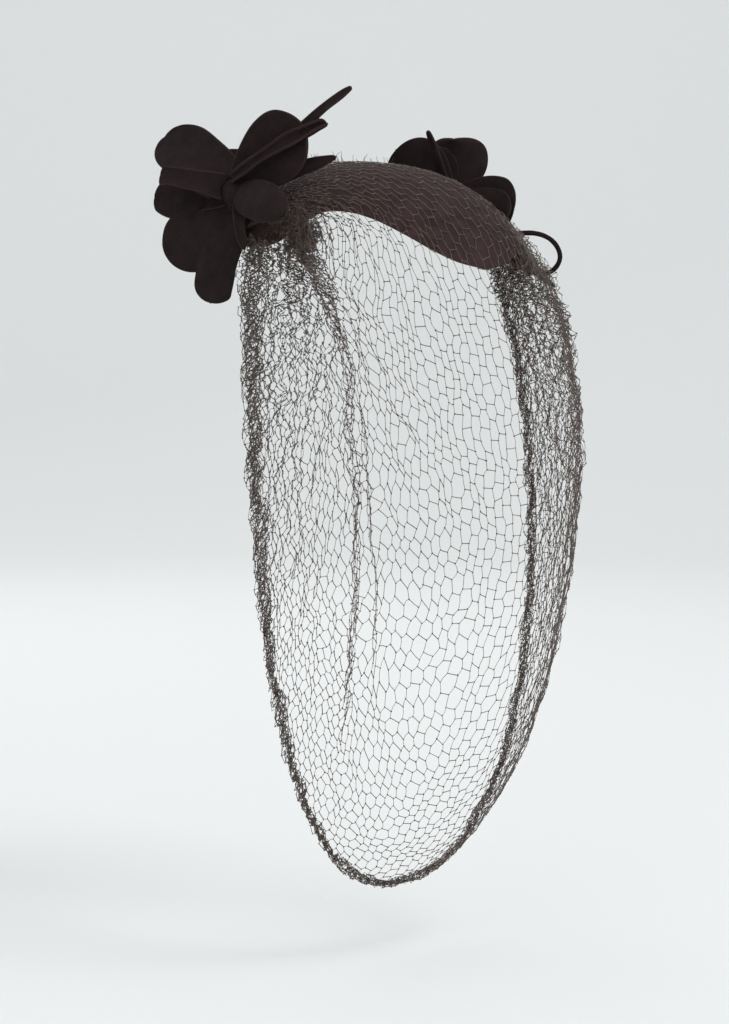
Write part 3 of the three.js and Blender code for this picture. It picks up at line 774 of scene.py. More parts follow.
    def lift(self, grid: Array) -> Array:
        """Lifts points that would sink into the cap; below the tabs the net hangs free."""
        away = grid - self.head.centre()
        surface = self.head.point(away, self.offset)
        sunk = lengths_of(surface - self.head.centre()) > lengths_of(away)
        share = smooth(away[..., 2] / (self.head.height / 4)) * sunk
        return grid + (surface - grid) * share[..., None]

    def read(self, values: Array, row: Array, share: Array) -> Array:
        """Reads grid values at any rows and shares, evenly between the grid's points."""
        r = np.clip(row, 0, 1) * (len(self.rows) - 1)
        s = (np.clip(share, -1, 1) + 1) / 2 * (len(self.shares) - 1)
        i = np.minimum(r.astype(int), len(self.rows) - 2)
        j = np.minimum(s.astype(int), len(self.shares) - 2)
        fr, fs = (r - i)[..., None], (s - j)[..., None]
        return (
            values[i, j] * (1 - fr) * (1 - fs)
            + values[i + 1, j] * fr * (1 - fs)
            + values[i, j + 1] * (1 - fr) * fs
            + values[i + 1, j + 1] * fr * fs
        )

    def squeeze(self) -> None:
        """Measures how far the cloth is bunched across and down, as shares of its flat size."""
        step_across = self.cloth_half * (self.shares[1] - self.shares[0])
        step_down = np.gradient(np.interp(self.rows, self.cloth_row, self.cloth_at))
        across = lengths_of(np.gradient(self.grid, axis=1)) / step_across
        down = lengths_of(np.gradient(self.grid, axis=0)) / np.maximum(step_down, self.least_step)[:, None]
        self.bunched = np.stack([np.clip(1 - across, 0, 1), np.clip(1 - down, 0, 1)], -1)

    def place(self, cloth: Array) -> Array:
        """Puts points of the flat cloth on the draped veil, with its folds, crumples and rolled edge.

        Args:
            cloth: places across and down the flat strip, in millimetres.

        Returns:
            Points in space.
        """
        share = cloth[..., 0] / self.cloth_half
        row = np.interp(cloth[..., 1], self.cloth_at, self.cloth_row)
        moved = share + sum(fold.shift(share, row) for fold in self.folds) / self.cloth_half
        points = self.read(self.grid, row, moved)
        normals = unit(self.read(self.normals, row, moved))
        bunched = self.read(self.bunched, row, moved)
        flat = cloth * [1, self.crumple_stretch]
        free = smooth((row - self.loosens_from) / self.loosens_over)
        depth = bunched[..., 0] * self.crumple * (self.crumple_on_crown + (1 - self.crumple_on_crown) * free)
        depth = depth + self.fold_crumple * sum(fold.near(share, row) for fold in self.folds)
        fine = self.fine_crumple * self.fine_waves.at(cloth, self.fine_crumple_length)
        crushed = 1 + self.ridge_crush * self.fine_waves.at(flat, self.ridge_crush_length)
        lift = (self.crumple_waves.at(flat, self.crumple_length) + fine) * depth
        lift = lift + sum(fold.ridge(share, row) for fold in self.folds) * crushed
        away = points - self.head.centre()
        surface = self.head.point(away, self.offset) - self.head.centre()
        clear = lengths_of(away) - lengths_of(surface)
        lift = np.where(clear < self.touching, np.abs(lift) * self.pressed, lift)
        points = points + normals * lift[..., None]
        drift = np.stack([w.at(cloth, self.drift_length) for w in self.drift_waves], -1)
        points = points + drift * (self.drift + self.bunched_drift * bunched[..., :1]) * free[..., None]
        return self.roll(points, normals, cloth, moved)

    def roll(
        self, points: Array, normals: Array, cloth: Array, share: Array,
    ) -> Array:
        """Winds and crushes the cloth below the lower edge into its roll.

        Args:
            points: the cloth's points, all of them, in space.
            normals: the draped surface's normals there.
            cloth: their places on the flat strip.
            share: their places across, from -1 to 1.

        Returns:
            The points, with those of the roll moved.
        """
        past = np.maximum(cloth[..., 1] - self.cloth_at[-1], 0)
        spent = past / self.rolled_cloth
        wobble = 1 + self.roll_wobble * self.roll_waves.at(cloth * [1, 0], self.roll_wobble_length)
        full = through(self.roll_at, self.roll_radius, share) * wobble
        angle = past / (full * self.roll_winding)
        edge = np.full_like(share, self.cloth_row[-1])
        above = self.read(self.grid, edge - self.roll_look_back, share)
        down = unit(self.read(self.grid, edge, share) - above)
        begun = np.minimum(spent * self.roll_crush_start, 1)
        crushed = 1 + self.roll_crush * self.fine_waves.at(cloth, self.roll_crush_length) * begun
        radius = full * (1 - self.roll_taper * spent) * crushed
        out = (radius * np.cos(angle) - full) * self.roll_flatness
        wound = normals * out[..., None] + down * (radius * np.sin(angle))[..., None]
        return points + np.where(past[..., None] > 0, wound, 0.0)

    def lattice(self) -> tuple[Array, Array, Array, Array]:
        """Lays out the net's bars and sides on the flat cloth.

        Returns:
            Points of all threads in space, three for each thread; each thread's radius; whether it
            is a bar, whose ends are knots; and its place on the flat cloth.
        """
        rng = np.random.default_rng(SEED)
        depth = self.cloth_at[-1] + self.rolled_cloth
        half = int(self.cloth_half / self.cell_width)
        count = int(depth / self.cell_height)
        i, j = np.meshgrid(np.arange(-half, half + 1), np.arange(count), indexing="ij")
        centre = np.stack([i * self.cell_width, (j + 0.5 * (i % 2)) * self.cell_height], -1).astype(float)
        reach = np.array([self.bar_length / 2, 0.0])
        ends = np.stack([centre - reach, centre + reach], 2)
        ends = ends + rng.normal(size=ends.shape) * np.array(self.knot_scatter)
        sway = np.stack([w.at(ends, self.knot_sway_length) for w in self.sway_waves], -1)
        ends = ends + sway * np.array(self.knot_sway)
        bars = ends.reshape(-1, 2, 2)
        sides = []
        odd = (i % 2 == 1)[:-1]
        for step in (0, 1):
            k = np.where(odd, j[:-1] + step, j[:-1] + step - 1)
            good = (k >= 0) & (k < count)
            here = ends[:-1][good][:, 1]
            other = ends[1:][np.nonzero(good)[0], k[good]][:, 0]
            sides.append(np.stack([here, other], 1))
        sides = np.concatenate(sides)
        threads = np.concatenate([bars, sides])
        is_bar = np.arange(len(threads)) < len(bars)
        bend = np.where(is_bar[:, None], self.bar_bend, self.side_bend)
        middle = threads.mean(1) + rng.normal(size=(len(threads), 2)) * bend
        cloth = np.stack([threads[:, 0], middle, threads[:, 1]], 1)
        radius = np.where(is_bar, self.bar_radius, self.thread_radius)
        radius = radius * rng.uniform(*self.thread_spread, len(threads))
        return self.place(cloth), radius, is_bar, cloth[:, 1]

    def loose_ends(self) -> tuple[Array, Array]:
        """Makes the loose thread ends: along the crown's edge and ridge, and under both flowers.

        Returns:
            Points of the threads, three for each, and their radii.
        """
        rng = np.random.default_rng(SEED + 1)
        count = self.whisker.count
        u = rng.uniform(self.whisker_from, self.whisker_to, count) * self.cloth_half
        behind = rng.uniform(size=count) < self.whisker_at_back
        v = np.where(behind, 0.0, self.whisker_ridge) + rng.uniform(0, self.whisker_band, count)
        foot = self.place(np.stack([u, v], -1))
        lean = unit(foot - self.head.centre()) * rng.uniform(0.2, 1.0, (count, 1))
        lean = lean + np.array([0.0, 1.0, 0.0]) * rng.uniform(0.0, 1.0, (count, 1))
        whiskers = self.whisker.grow(rng, foot, lean)

        count = self.tuft.count
        u = rng.choice([-1.0, 1.0], count) * rng.uniform(self.tuft_from, 1.0, count) * self.cloth_half
        foot = self.place(np.stack([u, rng.uniform(*self.tuft_rows, count)], -1))
        lean = unit(foot - self.head.centre()) * rng.uniform(-0.1, 0.7, (count, 1))
        tufts = self.tuft.grow(rng, foot, lean + np.array(self.tuft_fall))
        threads = np.concatenate([whiskers, tufts])
        return threads, np.full(len(threads), self.thread_radius * self.loose_thread)

    def thread_tree(self) -> NodeTree:
        """Makes the Geometry Nodes tree that turns lines into threads and puts knots on them."""
        tree = bpy.data.node_groups.new("net_threads", "GeometryNodeTree")
        wanted = (("Lines", "Geometry"), ("Thread Sides", "Int"), ("Knot Radius", "Float"),
                  ("Thread Material", "Material"))
        for name, kind in wanted:
            tree.interface.new_socket(name, in_out="INPUT", socket_type=f"NodeSocket{kind}")
        tree.interface.new_socket("Net", in_out="OUTPUT", socket_type="NodeSocketGeometry")
        given = add_node(tree, "NodeGroupInput").outputs

        def made(kind: str, inputs: dict, **settings) -> NodeSocket:
            """Adds a node and gives its first output."""
            return add_node(tree, kind, inputs, **settings).outputs[0]

        named, drawn = "GeometryNodeInputNamedAttribute", "FunctionNodeRandomValue"
        size = made(named, {"Name": "thread_radius"}, data_type="FLOAT")
        tied = made(named, {"Name": "knot"}, data_type="BOOLEAN")
        line = made("GeometryNodeMeshToCurve", {"Mesh": given["Lines"]})
        ring = made("GeometryNodeCurvePrimitiveCircle", {"Resolution": given["Thread Sides"], "Radius": 1.0})
        tubes = made("GeometryNodeCurveToMesh", {
            "Curve": line, "Profile Curve": ring, "Scale": size, "Fill Caps": True,
        })
        bead = made("GeometryNodeMeshUVSphere", {
            "Segments": self.knot_sides, "Rings": self.knot_rings, "Radius": given["Knot Radius"],
        })
        turn = {0: (0.0, 0.0, 0.0), 1: self.knot_turn, "Seed": self.knot_seeds[0]}
        swell = {0: self.knot_least, 1: self.knot_most, "Seed": self.knot_seeds[1]}
        knots = made("GeometryNodeInstanceOnPoints", {
            "Points": given["Lines"], "Selection": tied, "Instance": bead,
            "Rotation": made(drawn, turn, data_type="FLOAT_VECTOR"),
            "Scale": made(drawn, swell, data_type="FLOAT_VECTOR"),
        })
        joined = add_node(tree, "GeometryNodeJoinGeometry")
        tree.links.new(knots, joined.inputs[0])
        tree.links.new(tubes, joined.inputs[0])
        real = made("GeometryNodeRealizeInstances", {"Geometry": joined.outputs[0]})
        soft = made("GeometryNodeSetShadeSmooth", {"Geometry": real})
        dressed = made("GeometryNodeSetMaterial", {"Geometry": soft, "Material": given["Thread Material"]})
        add_node(tree, "NodeGroupOutput", {"Net": dressed})
        return tree

    def spin_threads(
        self, name: str, lines: Array, radius: Array, knots: Array,
        tree: NodeTree, material: Material,
    ) -> Object:
        """Makes one piece of thread from lines.

        Args:
            name: the piece's name.
            lines: points in millimetres, threads by points by three.
            radius: each thread's radius in millimetres.
            knots: whether each thread's ends are tied in knots.
            tree: the Geometry Nodes tree.
            material: the thread's finish.

        Returns:
            The piece, a plain mesh.
        """
        count, long = lines.shape[:2]
        first = (np.arange(count)[:, None] * long + np.arange(long - 1)[None, :]).ravel()
        thing = make_object(name, lines.reshape(-1, 3), [], np.stack([first, first + 1], -1).tolist())
        point_values(thing, "thread_radius", "FLOAT", np.repeat(radius * MM, long).astype(np.float32))
        ends = np.zeros((count, long), bool)
        ends[:, 0] = ends[:, -1] = knots
        point_values(thing, "knot", "BOOLEAN", ends.ravel())
        modifier = thing.modifiers.new("threads", "NODES")
        modifier.node_group = tree
        sockets = {item.name: item.identifier for item in tree.interface.items_tree if item.in_out == "INPUT"}
        modifier[sockets["Thread Sides"]] = self.thread_sides
        modifier[sockets["Knot Radius"]] = self.knot_radius * MM
        modifier[sockets["Thread Material"]] = material
        settle(thing)
        return thing

    def build(self, tree: NodeTree, material: Material) -> list[Object]:
        """Makes the whole net in pieces, by where their threads lie on the cloth.

        Args:
            tree: the Geometry Nodes tree.
            material: the thread's finish.

        Returns:
            The pieces.
        """
        lines, radius, is_bar, cloth = self.lattice()
        across, down = cloth[:, 0], cloth[:, 1]
        hanging = (down >= self.crown_cloth) & (down < self.edge_cloth)
        areas = {
            "net_over_crown": down < self.crown_cloth,
            "net_right_side": hanging & (across < -self.face_cloth),
            "net_face": hanging & (np.abs(across) <= self.face_cloth),
            "net_left_side": hanging & (across > self.face_cloth),
            "net_rolled_edge_right": (down >= self.edge_cloth) & (across < 0),
            "net_rolled_edge_left": (down >= self.edge_cloth) & (across >= 0),
        }
        made = []
        for name, picked in areas.items():
            order = np.concatenate([np.nonzero(picked & is_bar)[0], np.nonzero(picked & ~is_bar)[0]])
            part_lines, part_radius, knots = lines[order], radius[order], is_bar[order]
            if name == "net_over_crown":
                loose, thin = self.loose_ends()
                part_lines = np.concatenate([part_lines, loose])
                part_radius = np.concatenate([part_radius, thin])
                knots = np.concatenate([knots, np.zeros(len(loose), bool)])
            piece = self.spin_threads(name, part_lines, part_radius, knots, tree, material)
            finish_piece(piece, ["net_veil"])
            made.append(piece)
        return made


# The flowers


@dataclass(frozen=True)
class Petal:
    """A felt tongue on a bent centre line; lengths are shares of the flower's radius.

    rise: height on the core; turn: degrees from the crown's top towards the front; reach, to: tip
    from the axis and over the base; root: width at the core; widest: where it is widest; blunt:
    roundness of the tip; face: degrees about its run; cup: degrees of its sides; bow: its middle.
    """

    name: str
    rise: float
    turn: float
    reach: float
    to: float
    width: float
    root: float
    widest: float
    blunt: float
    face: float
    cup: float
    bow: float

    # Keeps the very tip from closing to nothing.
    TIP_SHARE = 0.997

    def width_at(self, k: Array) -> Array:
        """Width at a share of the length, as a share of the full width."""
        swell = self.root + (1 - self.root) * np.sin(math.pi / 2 * np.minimum(k / self.widest, 1))
        past = np.maximum((k - self.widest) / (1 - self.widest), 0)
        return swell * np.sqrt(np.maximum(1 - (past * self.TIP_SHARE) ** self.blunt, 0))


@dataclass
class FeltFlower:
    """Felt flower: a stub of a core and the petals that are sewn to it, each clear of the rest.

    Sizes are in millimetres. row_crowding packs a petal's rows towards its tip; sway and edge_sway
    are how far the felt waves all over and at its edges; the core_ values form the stub; the edge_
    and skin_ values form a petal's rounded cut edge and set the painted highlight on it and on the
    felt beside it.
    """

    head: HeadForm
    side: str
    petals: list[Petal]
    turn_deg: float
    tilt_deg: float
    radius: float = 60.0
    core_radius: float = 8.0
    core_height: float = 17.0
    core_sunk: float = 4.0
    core_taper: float = 0.35
    core_belly: float = 0.14
    core_closes: float = 0.8
    core_left_open: float = 0.02
    core_rings: int = 24
    core_sides: int = 40
    thickness: float = 1.8
    clearance: float = 0.35
    base_offset: float = 5.55
    guard_offset: float = 4.6
    petal_rows: int = 44
    petal_columns: int = 25
    row_crowding: float = 1.7
    sway: float = 0.35
    sway_length: float = 26.0
    edge_sway: float = 0.5
    edge_sway_length: float = 17.0
    flat_root: float = 0.3
    tip_from: float = 0.8
    edge_half: float = 0.36
    edge_out: float = 0.3
    # Painted highlight: how much lighter the felt next to the cut edge and the cut edge itself are drawn.
    skin_painted_highlight: float = 0.25
    edge_painted_highlight: float = 0.45
    crease_deg: float = 50.0

    def __post_init__(self) -> None:
        """Finds the base on the head form, the axis and the ways to the crown's top and the front."""
        sign = -1 if self.side == "right" else 1
        turn, tilt = math.radians(sign * self.turn_deg), math.radians(self.tilt_deg)
        small = math.radians(0.01)

        def at(t: float, tilted: float) -> Array:
            """A point of the head form under the flower."""
            return self.head.point(self.head.direction(np.array(t), np.array(tilted)), self.base_offset)

        self.base = at(turn, tilt)
        axis = unit(np.cross(at(turn + sign * small, tilt) - self.base, at(turn, tilt + small) - self.base))
        self.axis = axis if axis @ (self.base - self.head.centre()) > 0 else -axis
        self.inward = unit(UP - self.axis * self.axis[2])
        front = np.array([0, -1.0, 0])
        front = front - self.axis * (front @ self.axis)
        self.front = unit(front - self.inward * (front @ self.inward))

    def way(self, angle: float) -> Array:
        """Direction across the flower at a turn in degrees."""
        a = math.radians(angle)
        return self.inward * math.cos(a) + self.front * math.sin(a)

    def petal_grid(self, petal: Petal, grow: float) -> tuple[Array, Array]:
        """Middle surface of a petal.

        Args:
            petal: the petal's form.
            grow: how far its sides are moved out, in millimetres.

        Returns:
            Points and normals, rows by columns by three.
        """
        away = self.way(petal.turn)
        start = self.base + self.axis * petal.rise * self.core_height + away * self.core_radius * 0.5
        tip = self.base + self.axis * petal.to * self.radius + away * petal.reach * self.radius
        line = unit(tip - start)
        facing = turned(unit(self.axis - line * (self.axis @ line)), line, math.radians(petal.face))
        bend = (start + tip) / 2 + facing * petal.bow * self.radius
        k = 1 - (1 - np.linspace(0, 1, self.petal_rows)) ** self.row_crowding
        t = k[:, None]
        centre = start * (1 - t) ** 2 + bend * 2 * t * (1 - t) + tip * t**2
        forward = unit((bend - start) * (1 - t) + (tip - bend) * t)
        up = unit(facing - forward * (forward @ facing)[:, None])
        across = np.cross(up, forward)
        half = petal.width * self.radius * petal.width_at(k) / 2 + grow
        v = np.sin(np.linspace(-1, 1, self.petal_columns) * math.pi / 2)
        curl = math.radians(petal.cup)
        cup = curl * v
        spread = half[:, None] * np.sin(cup) / curl
        rise = half[:, None] * (1 - np.cos(cup)) / curl
        points = centre[:, None] + across[:, None] * spread[..., None] + up[:, None] * rise[..., None]
        normals = up[:, None] * np.cos(cup)[None, :, None] - across[:, None] * np.sin(cup)[None, :, None]
        waves = Waves(sum(map(ord, petal.name)), 3)
        edge = np.maximum(np.abs(v)[None, :] ** 3, smooth((t - self.tip_from) / (1 - self.tip_from)))
        wave = waves.at(points, self.sway_length) * self.sway
        wave = wave + waves.at(points, self.edge_sway_length) * self.edge_sway * edge
        return points + normals * (wave * smooth(t / self.flat_root))[..., None], normals

    def shell(
        self, points: Array, normals: Array, thick: float,
    ) -> tuple[Array, list, Array]:
        """Closes a middle surface into felt with a rounded cut edge.

        Args:
            points: rows by columns by three.
            normals: the same.
            thick: thickness in millimetres.

        Returns:
            Corners, faces, and how much painted highlight each corner gets at the cut edge.
        """
        rows, columns = points.shape[:2]
        n = rows * columns
        index = np.arange(n).reshape(rows, columns)
        ring = np.concatenate([index[0], index[1:, -1], index[-1, -2::-1], index[-2:0:-1, 0]])
        half = np.full((rows, columns), thick * self.edge_half)
        half[1:-1, 1:-1] = thick / 2
        outer = points + normals * half[..., None]
        inner = points - normals * half[..., None]
        inside = np.clip(ring // columns, 1, rows - 2) * columns + np.clip(ring % columns, 1, columns - 2)
        flat = points.reshape(-1, 3)
        middle = flat[ring] + unit(flat[ring] - flat[inside]) * thick * self.edge_out
        corners = np.concatenate([outer.reshape(-1, 3), inner.reshape(-1, 3), middle])
        # Painted highlight: the skins' border corners and the middle ring of the cut edge are drawn lighter.
        near = np.full((rows, columns), self.skin_painted_highlight)
        near[1:-1, 1:-1] = 0
        rim = np.concatenate([near.ravel(), near.ravel(), np.full(len(ring), self.edge_painted_highlight)])
        quads = np.stack([index[:-1, :-1], index[1:, :-1], index[1:, 1:], index[:-1, 1:]], -1).reshape(-1, 4)
        skins = np.stack([quads, n + quads[:, [0, 3, 2, 1]]], 1)
        after = np.roll(ring, -1)
        here = 2 * n + np.arange(len(ring))
        there = np.roll(here, -1)
        sides = np.stack([
            np.stack([ring, after, there, here], -1), np.stack([here, there, n + after, n + ring], -1),
        ], 1)
        faces = np.concatenate([skins.reshape(-1, 4), sides.reshape(-1, 4)]).tolist()
        return corners, faces, rim

    def petal_mesh(self, petal: Petal, name: str, grow: float) -> Object:
        """Makes a petal as a closed mesh, grown all round for use as a cutter."""
        points, normals = self.petal_grid(petal, grow)
        corners, faces, rim = self.shell(points, normals, self.thickness + 2 * grow)
        thing = make_object(name, corners, faces)
        point_values(thing, "rim", "FLOAT", rim.astype(np.float32))
        turn_outwards(thing)
        return thing

    def core_mesh(self, name: str, grow: float) -> Object:
        """Makes the core: a felt stub that bellies out and closes over the top."""
        k = np.linspace(0, 1, self.core_rings + 1)
        belly = 1 - self.core_belly + self.core_belly * np.sin(k * math.pi)
        radius = (self.core_radius + grow) * np.sqrt(1 - k**2 * self.core_taper) * belly
        past = np.maximum((k - self.core_closes) / (1 - self.core_closes), 0)
        radius = radius * np.sqrt(np.maximum(1 - past**2 * (1 - self.core_left_open), 0))
        height = -self.core_sunk + (self.core_height + self.core_sunk + grow) * k
        angle = round_turns(self.core_sides)
        ring = np.cos(angle)[:, None] * self.inward + np.sin(angle)[:, None] * self.front
        body = self.base + self.axis * height[:, None, None] + ring[None] * radius[:, None, None]
        return closed_rings(
            name, body, self.base - self.axis * self.core_sunk, self.base + self.axis * height[-1],
        )

    def build(self, felt: Material, guard: Object) -> list[Object]:
        """Makes the core and the petals, each cut clear of the head and of the pieces before it.

        Args:
            felt: the petals' finish.
            guard: the solid under the flower that nothing may enter.

        Returns:
            The grown copies, which cut what is sewn to the flower.
        """
        core = self.core_mesh(f"{self.side}_flower_centre", 0.0)
        cut_clear(core, [guard])
        self.dress(core, felt, "flower_core")
        kept = [self.core_mesh(f"{self.side}_core_cutter", self.clearance)]
        for petal in self.petals:
            thing = self.petal_mesh(petal, f"{self.side}_{petal.name}_felt", 0.0)
            cut_clear(thing, [guard, *kept])
            self.dress(thing, felt, petal.name)
            kept.append(self.petal_mesh(petal, f"{self.side}_{petal.name}_cutter", self.clearance))
        return kept

    def dress(self, thing: Object, felt: Material, node: str) -> None:
        """Gives a piece its finish and its place among the CAD nodes."""
        soft_shade(thing, self.crease_deg)
        thing.data.materials.clear()
        thing.data.materials.append(felt)
        finish_piece(thing, [f"{self.side}_{node}"])


RIGHT_PETALS = [
    Petal("front_oval", 0.72, 106, 0.8, 0.13, 0.34, 0.55, 0.5, 2.3, 15, -24, 0.1),
    Petal("loop_band", 0.9, -112, 0.47, 0.6, 0.17, 1.4, 0.85, 8, -25, 35, 0.06),
    Petal("upright_petal", 0.7, 49, 0.82, 0.34, 0.6, 0.42, 0.62, 2.6, 42, 24, -0.03),
    Petal("rolled_strip", 1, 52, 1, 0.25, 0.14, 0.8, 0.85, 7, 30, 95, 0.12),
    Petal("long_strip", 0.55, 42, 1.3, 0.3, 0.085, 1.1, 0.3, 4, 30, 30, 0.1),
    Petal("crown_strip", 0.5, 46, 0.84, -0.1, 0.14, 0.9, 0.35, 1.7, 35, 20, 0.06),
    Petal("top_petal", 0.85, -69, 0.85, 0.58, 0.5, 0.8, 0.55, 2.4, 5, 24, 0.05),
    Petal("top_petal_back", 0.5, -44, 0.36, 0.36, 0.42, 0.4, 0.6, 2.2, 10, 10, 0.02),
    Petal("side_petal", 0.55, -100, 0.84, 0.32, 0.4, 0.45, 0.6, 2.2, -25, 22, 0.05),
    Petal("low_round_petal", 0.3, -142, 0.8, 0.08, 0.58, 0.4, 0.6, 2.2, -38, -14, 0.08),
    Petal("low_long_petal", 0.15, 180, 0.88, -0.2, 0.42, 0.45, 0.66, 2.4, -32, -16, 0.1),
    Petal("narrow_strip", 0.42, 148, 0.55, -0.02, 0.09, 1, 0.5, 3, -20, 30, 0.08),
]

LEFT_PETALS = [
    Petal("rose_petal", 0.9, 4, 0.4, 0.5, 0.62, 0.6, 0.55, 2.6, 28, 60, 0.08),
    Petal("inner_petal", 0.75, -25, 0.46, 0.26, 0.46, 0.5, 0.6, 2.2, 45, 20, 0),
    Petal("back_petal", 0.45, -30, 0.66, 0.17, 0.56, 0.45, 0.6, 2.2, 42, 14, 0.03),
    Petal("small_tail", 0.6, 2, 0.64, 0.32, 0.07, 1.1, 0.4, 2, 0, 30, 0),
    Petal("side_petal", 0.8, 124, 0.54, 0.34, 0.5, 0.5, 0.6, 2.6, -38, 20, 0.03),
    Petal("curled_petal", 0.4, 112, 0.62, 0.16, 0.42, 0.5, 0.6, 2.2, -45, 30, 0.05),
    Petal("low_petal", 0.3, 138, 1.02, 0.03, 0.42, 0.45, 0.62, 2.4, 10, -16, 0.1),
    Petal("low_tail", 0.12, 133, 1.24, -0.08, 0.11, 1.1, 0.3, 1.6, 0, 30, 0.06),
    Petal("low_back_petal", 0.35, -118, 0.66, 0.16, 0.5, 0.45, 0.6, 2.2, 0, 14, 0.03),
]


def turn_outwards(thing: Object) -> None:
    """Makes a closed mesh's faces point outwards."""
    work = bmesh.new()
    work.from_mesh(thing.data)
    bmesh.ops.recalc_face_normals(work, faces=work.faces)
    work.to_mesh(thing.data)
    work.free()


def cut_clear(thing: Object, cutters: list[Object]) -> None:
    """Cuts a closed mesh clear of others and keeps its largest part."""
    for cutter in cutters:
        modifier = thing.modifiers.new("clear", "BOOLEAN")
        modifier.operation = "DIFFERENCE"
        modifier.solver = "MANIFOLD"
        modifier.object = cutter
    settle(thing)
    work = bmesh.new()
    work.from_mesh(thing.data)
    seen: set = set()
    parts = []
    for face in work.faces:
        if face in seen:
            continue
        part, todo = [], [face]
        seen.add(face)
        while todo:
            here = todo.pop()
            part.append(here)
            for edge in here.edges:
                for other in edge.link_faces:
                    if other not in seen:
                        seen.add(other)
                        todo.append(other)
        parts.append(part)
    parts.sort(key=lambda part: sum(f.calc_area() for f in part))
    for part in parts[:-1]:
        bmesh.ops.delete(work, geom=part, context="FACES")
    work.to_mesh(thing.data)
    work.free()


def remove(things: list[Object]) -> None:
    """Takes helper objects out of the scene."""
    for thing in things:
        bpy.data.objects.remove(thing)


@dataclass
class CordLoop:
    """Wired felt cord that leaves the left flower, turns outwards and comes back to it."""

    diameter: float = 2.6
    steps: int = 160
    sides: int = 16
    swell: float = 0.03
    swell_length: float = 9.0
    seed: int = 7
    crease_deg: float = 60.0
    route: tuple[Triple, ...] = (
        (79, -35, -34.5), (80.5, -36.5, -33.8), (83.2, -38.2, -32.5), (86.9, -40.5, -32.2),
        (90.6, -42.8, -32.3), (94.8, -45.4, -33.4), (98.5, -47.7, -35.7), (101.3, -49.5, -39.4),
        (102.7, -50.3, -43.9), (102.4, -49.6, -47.8), (101, -47.5, -51.2), (98.6, -44, -53.6),
        (96, -40.5, -54.2),
    )

    def build(self, felt: Material) -> Object:
        """Makes the loop as a tube on a smooth curve through its points."""
        points = np.array(self.route, float)
        along = np.concatenate([[0], np.cumsum(np.linalg.norm(np.diff(points, axis=0), axis=1))])
        at = np.linspace(0, along[-1], self.steps)
        line = np.stack([through(along, points[:, k], at) for k in range(3)], -1)
        forward = unit(np.gradient(line, axis=0))
        # Any way that the cord never runs along would do to square its rings up.
        side = unit(np.cross(forward, np.array([0.3, 0.8, 0.5])))
        other = np.cross(forward, side)
        angle = round_turns(self.sides)
        ring = side[:, None] * np.cos(angle)[None, :, None] + other[:, None] * np.sin(angle)[None, :, None]
        swell = 1 + self.swell * Waves(self.seed, 3).at(line, self.swell_length)
        body = line[:, None] + ring * (self.diameter / 2 * swell)[:, None, None]
        loop = closed_rings("felt_cord_loop", body, line[0], line[-1])
        soft_shade(loop, self.crease_deg)
        loop.data.materials.append(felt)
        finish_piece(loop, ["left_cord_loop"])
        return loop


def head_guard(head: HeadForm, offset: float, turns: int = 96, tilts: int = 48) -> Object:
    """Makes the head form as a closed mesh, to cut the flowers clear of cap and net.

    Args:
        head: the form.
        offset: how far the guard stands over it.
        turns: corners round each ring.
        tilts: steps from the top to the bottom.

    Returns:
        The guard, a helper that is taken out of the scene again.
    """
    tilt = np.linspace(0, math.pi, tilts + 1)[1:-1]
    turn = round_turns(turns)
    wide, deep = np.meshgrid(turn, tilt)
    body = head.point(head.direction(wide, deep), offset)
    return closed_rings("head_guard", body, head.point(UP, offset), head.point(-UP, offset))


# The studio


@dataclass(frozen=True)
class Lamp:
    """Large square lamp; its place and side are in metres, its aim in millimetres, its power in watts."""

    name: str
    place: Triple
    size: float
    power: float
    aim: Triple = HAT_MIDDLE

    def build(self) -> None:
        """Makes the lamp and turns it to its aim."""
        lamp = bpy.data.objects.new(self.name, bpy.data.lights.new(self.name, "AREA"))
        lamp.data.size = self.size
        lamp.data.energy = self.power
        lamp.location = self.place
        way = Vector(self.place) - Vector(self.aim) * MM
        lamp.rotation_euler = way.to_track_quat("Z", "Y").to_euler()
        bpy.context.scene.collection.objects.link(lamp)


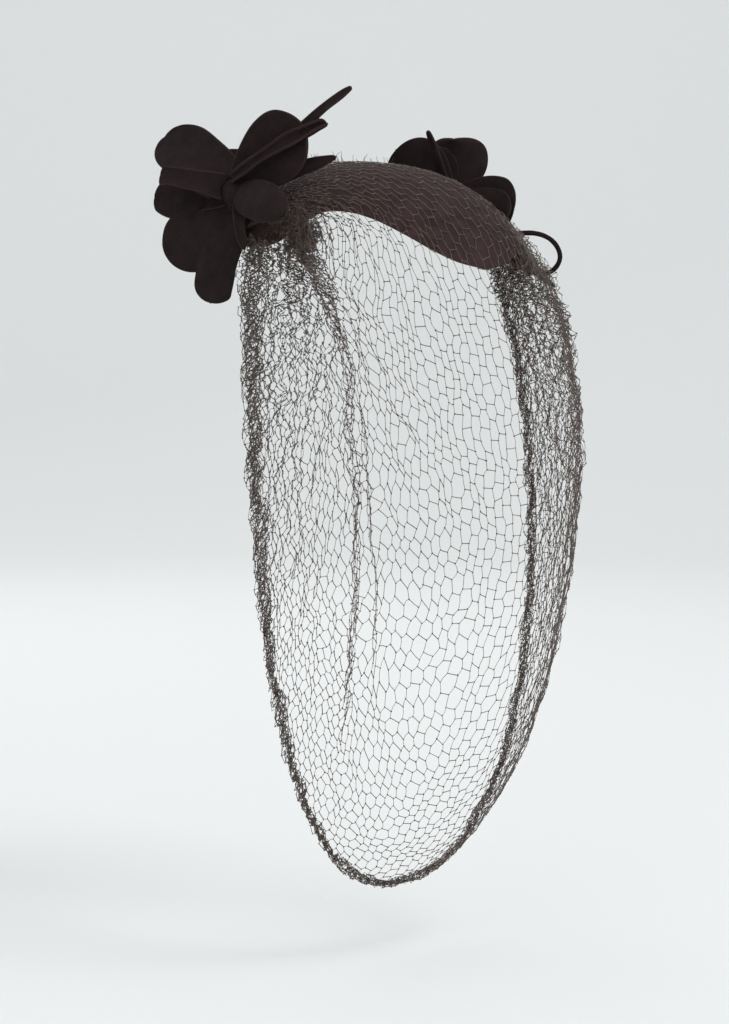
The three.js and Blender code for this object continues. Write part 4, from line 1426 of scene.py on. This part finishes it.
@dataclass
class Studio:
    """Camera at the photograph's angle, a pale floor and soft light."""

    distance: float = 1250.0
    azimuth: float = -42.0
    elevation: float = 4.0
    lens: float = 84.4
    nearest: float = 0.05
    floor_drop: float = -402.0
    floor_flat: float = 2200.0
    floor_bend: float = 1400.0
    floor_wall: float = 300.0
    floor_sides: int = 96
    floor_steps: int = 24
    world_colour: str = "#dcdfdf"
    lamps: tuple[Lamp, ...] = (
        Lamp("key", (0.5, -1.5, 1.7), 1.0, 22.0),
        Lamp("fill", (-1.6, -0.9, 0.5), 1.6, 8.0),
        Lamp("back", (0.4, 1.6, 1.2), 1.4, 10.0),
        Lamp("wall", (1.3, 1.5, 2.1), 2.0, 8.0, (2700.0, 3000.0, 300.0)),
    )

    def build(self) -> None:
        """Makes the camera, the floor, the lights and the world."""
        scene = bpy.context.scene
        scene.view_settings.view_transform = "Standard"
        camera = bpy.data.objects.new("camera", bpy.data.cameras.new("camera"))
        camera.data.lens = self.lens
        turn, rise = math.radians(self.azimuth), math.radians(self.elevation)
        back = Vector((math.sin(turn) * math.cos(rise), -math.cos(turn) * math.cos(rise), math.sin(rise)))
        camera.location = (Vector(HAT_MIDDLE) + back * self.distance) * MM
        camera.rotation_euler = (-back).to_track_quat("-Z", "Y").to_euler()
        camera.data.clip_start = self.nearest
        scene.collection.objects.link(camera)
        scene.camera = camera
        self.floor()
        for lamp in self.lamps:
            lamp.build()
        world = bpy.data.worlds.new("studio")
        world.use_nodes = True
        sky = world.node_tree.nodes["Background"]
        sky.inputs["Color"].default_value = linear(self.world_colour)
        sky.inputs["Strength"].default_value = 1.0
        scene.world = world

    def floor(self) -> None:
        """Makes the floor, which curves up into a wall all round so that no horizon shows."""
        angle = np.linspace(0, math.pi / 2, self.floor_steps + 1)
        wide = self.floor_flat + self.floor_bend
        reach = np.concatenate([self.floor_flat + self.floor_bend * np.sin(angle), [wide]])
        height = np.concatenate([self.floor_bend * (1 - np.cos(angle)), [self.floor_bend + self.floor_wall]])
        turn = -round_turns(self.floor_sides)
        up = np.repeat(height[:, None] + self.floor_drop, self.floor_sides, 1)
        rings = np.stack([reach[:, None] * np.cos(turn), reach[:, None] * np.sin(turn), up], -1)
        corners = np.concatenate([rings.reshape(-1, 3), [UP * self.floor_drop]])
        floor = make_object("floor", corners, ring_faces(len(reach), self.floor_sides, len(corners) - 1))
        floor.data.shade_smooth()
        floor.data.materials.append(PaleFloor().build())


def main() -> None:
    """Builds the hat piece by piece, then the studio."""
    logging.basicConfig(level=logging.INFO, format="%(name)s: %(message)s")
    head = HeadForm()
    cap_felt = WoolFelt("brown_wool_felt_cap", "#1f1617", "#443233", "#4a3936", 0.08)
    FeltCap(head).build(cap_felt.build())
    veil = NetVeil(head)
    veil.build(veil.thread_tree(), NetThread().build())
    petal_felt = WoolFelt("brown_wool_felt_petals", "#150f0f", "#2b2020", "#3a2b29", 0.06).build()
    right = FeltFlower(head, "right", RIGHT_PETALS, turn_deg=92, tilt_deg=45)
    left = FeltFlower(head, "left", LEFT_PETALS, turn_deg=88, tilt_deg=43)
    guard = head_guard(head, right.guard_offset)
    remove(right.build(petal_felt, guard) + left.build(petal_felt, guard) + [guard])
    CordLoop().build(WoolFelt("brown_felt_cord", "#171212", "#271e1e", "#3c2c2a", 0.06).build())
    Studio().build()


if __name__ == "__main__":
    main()
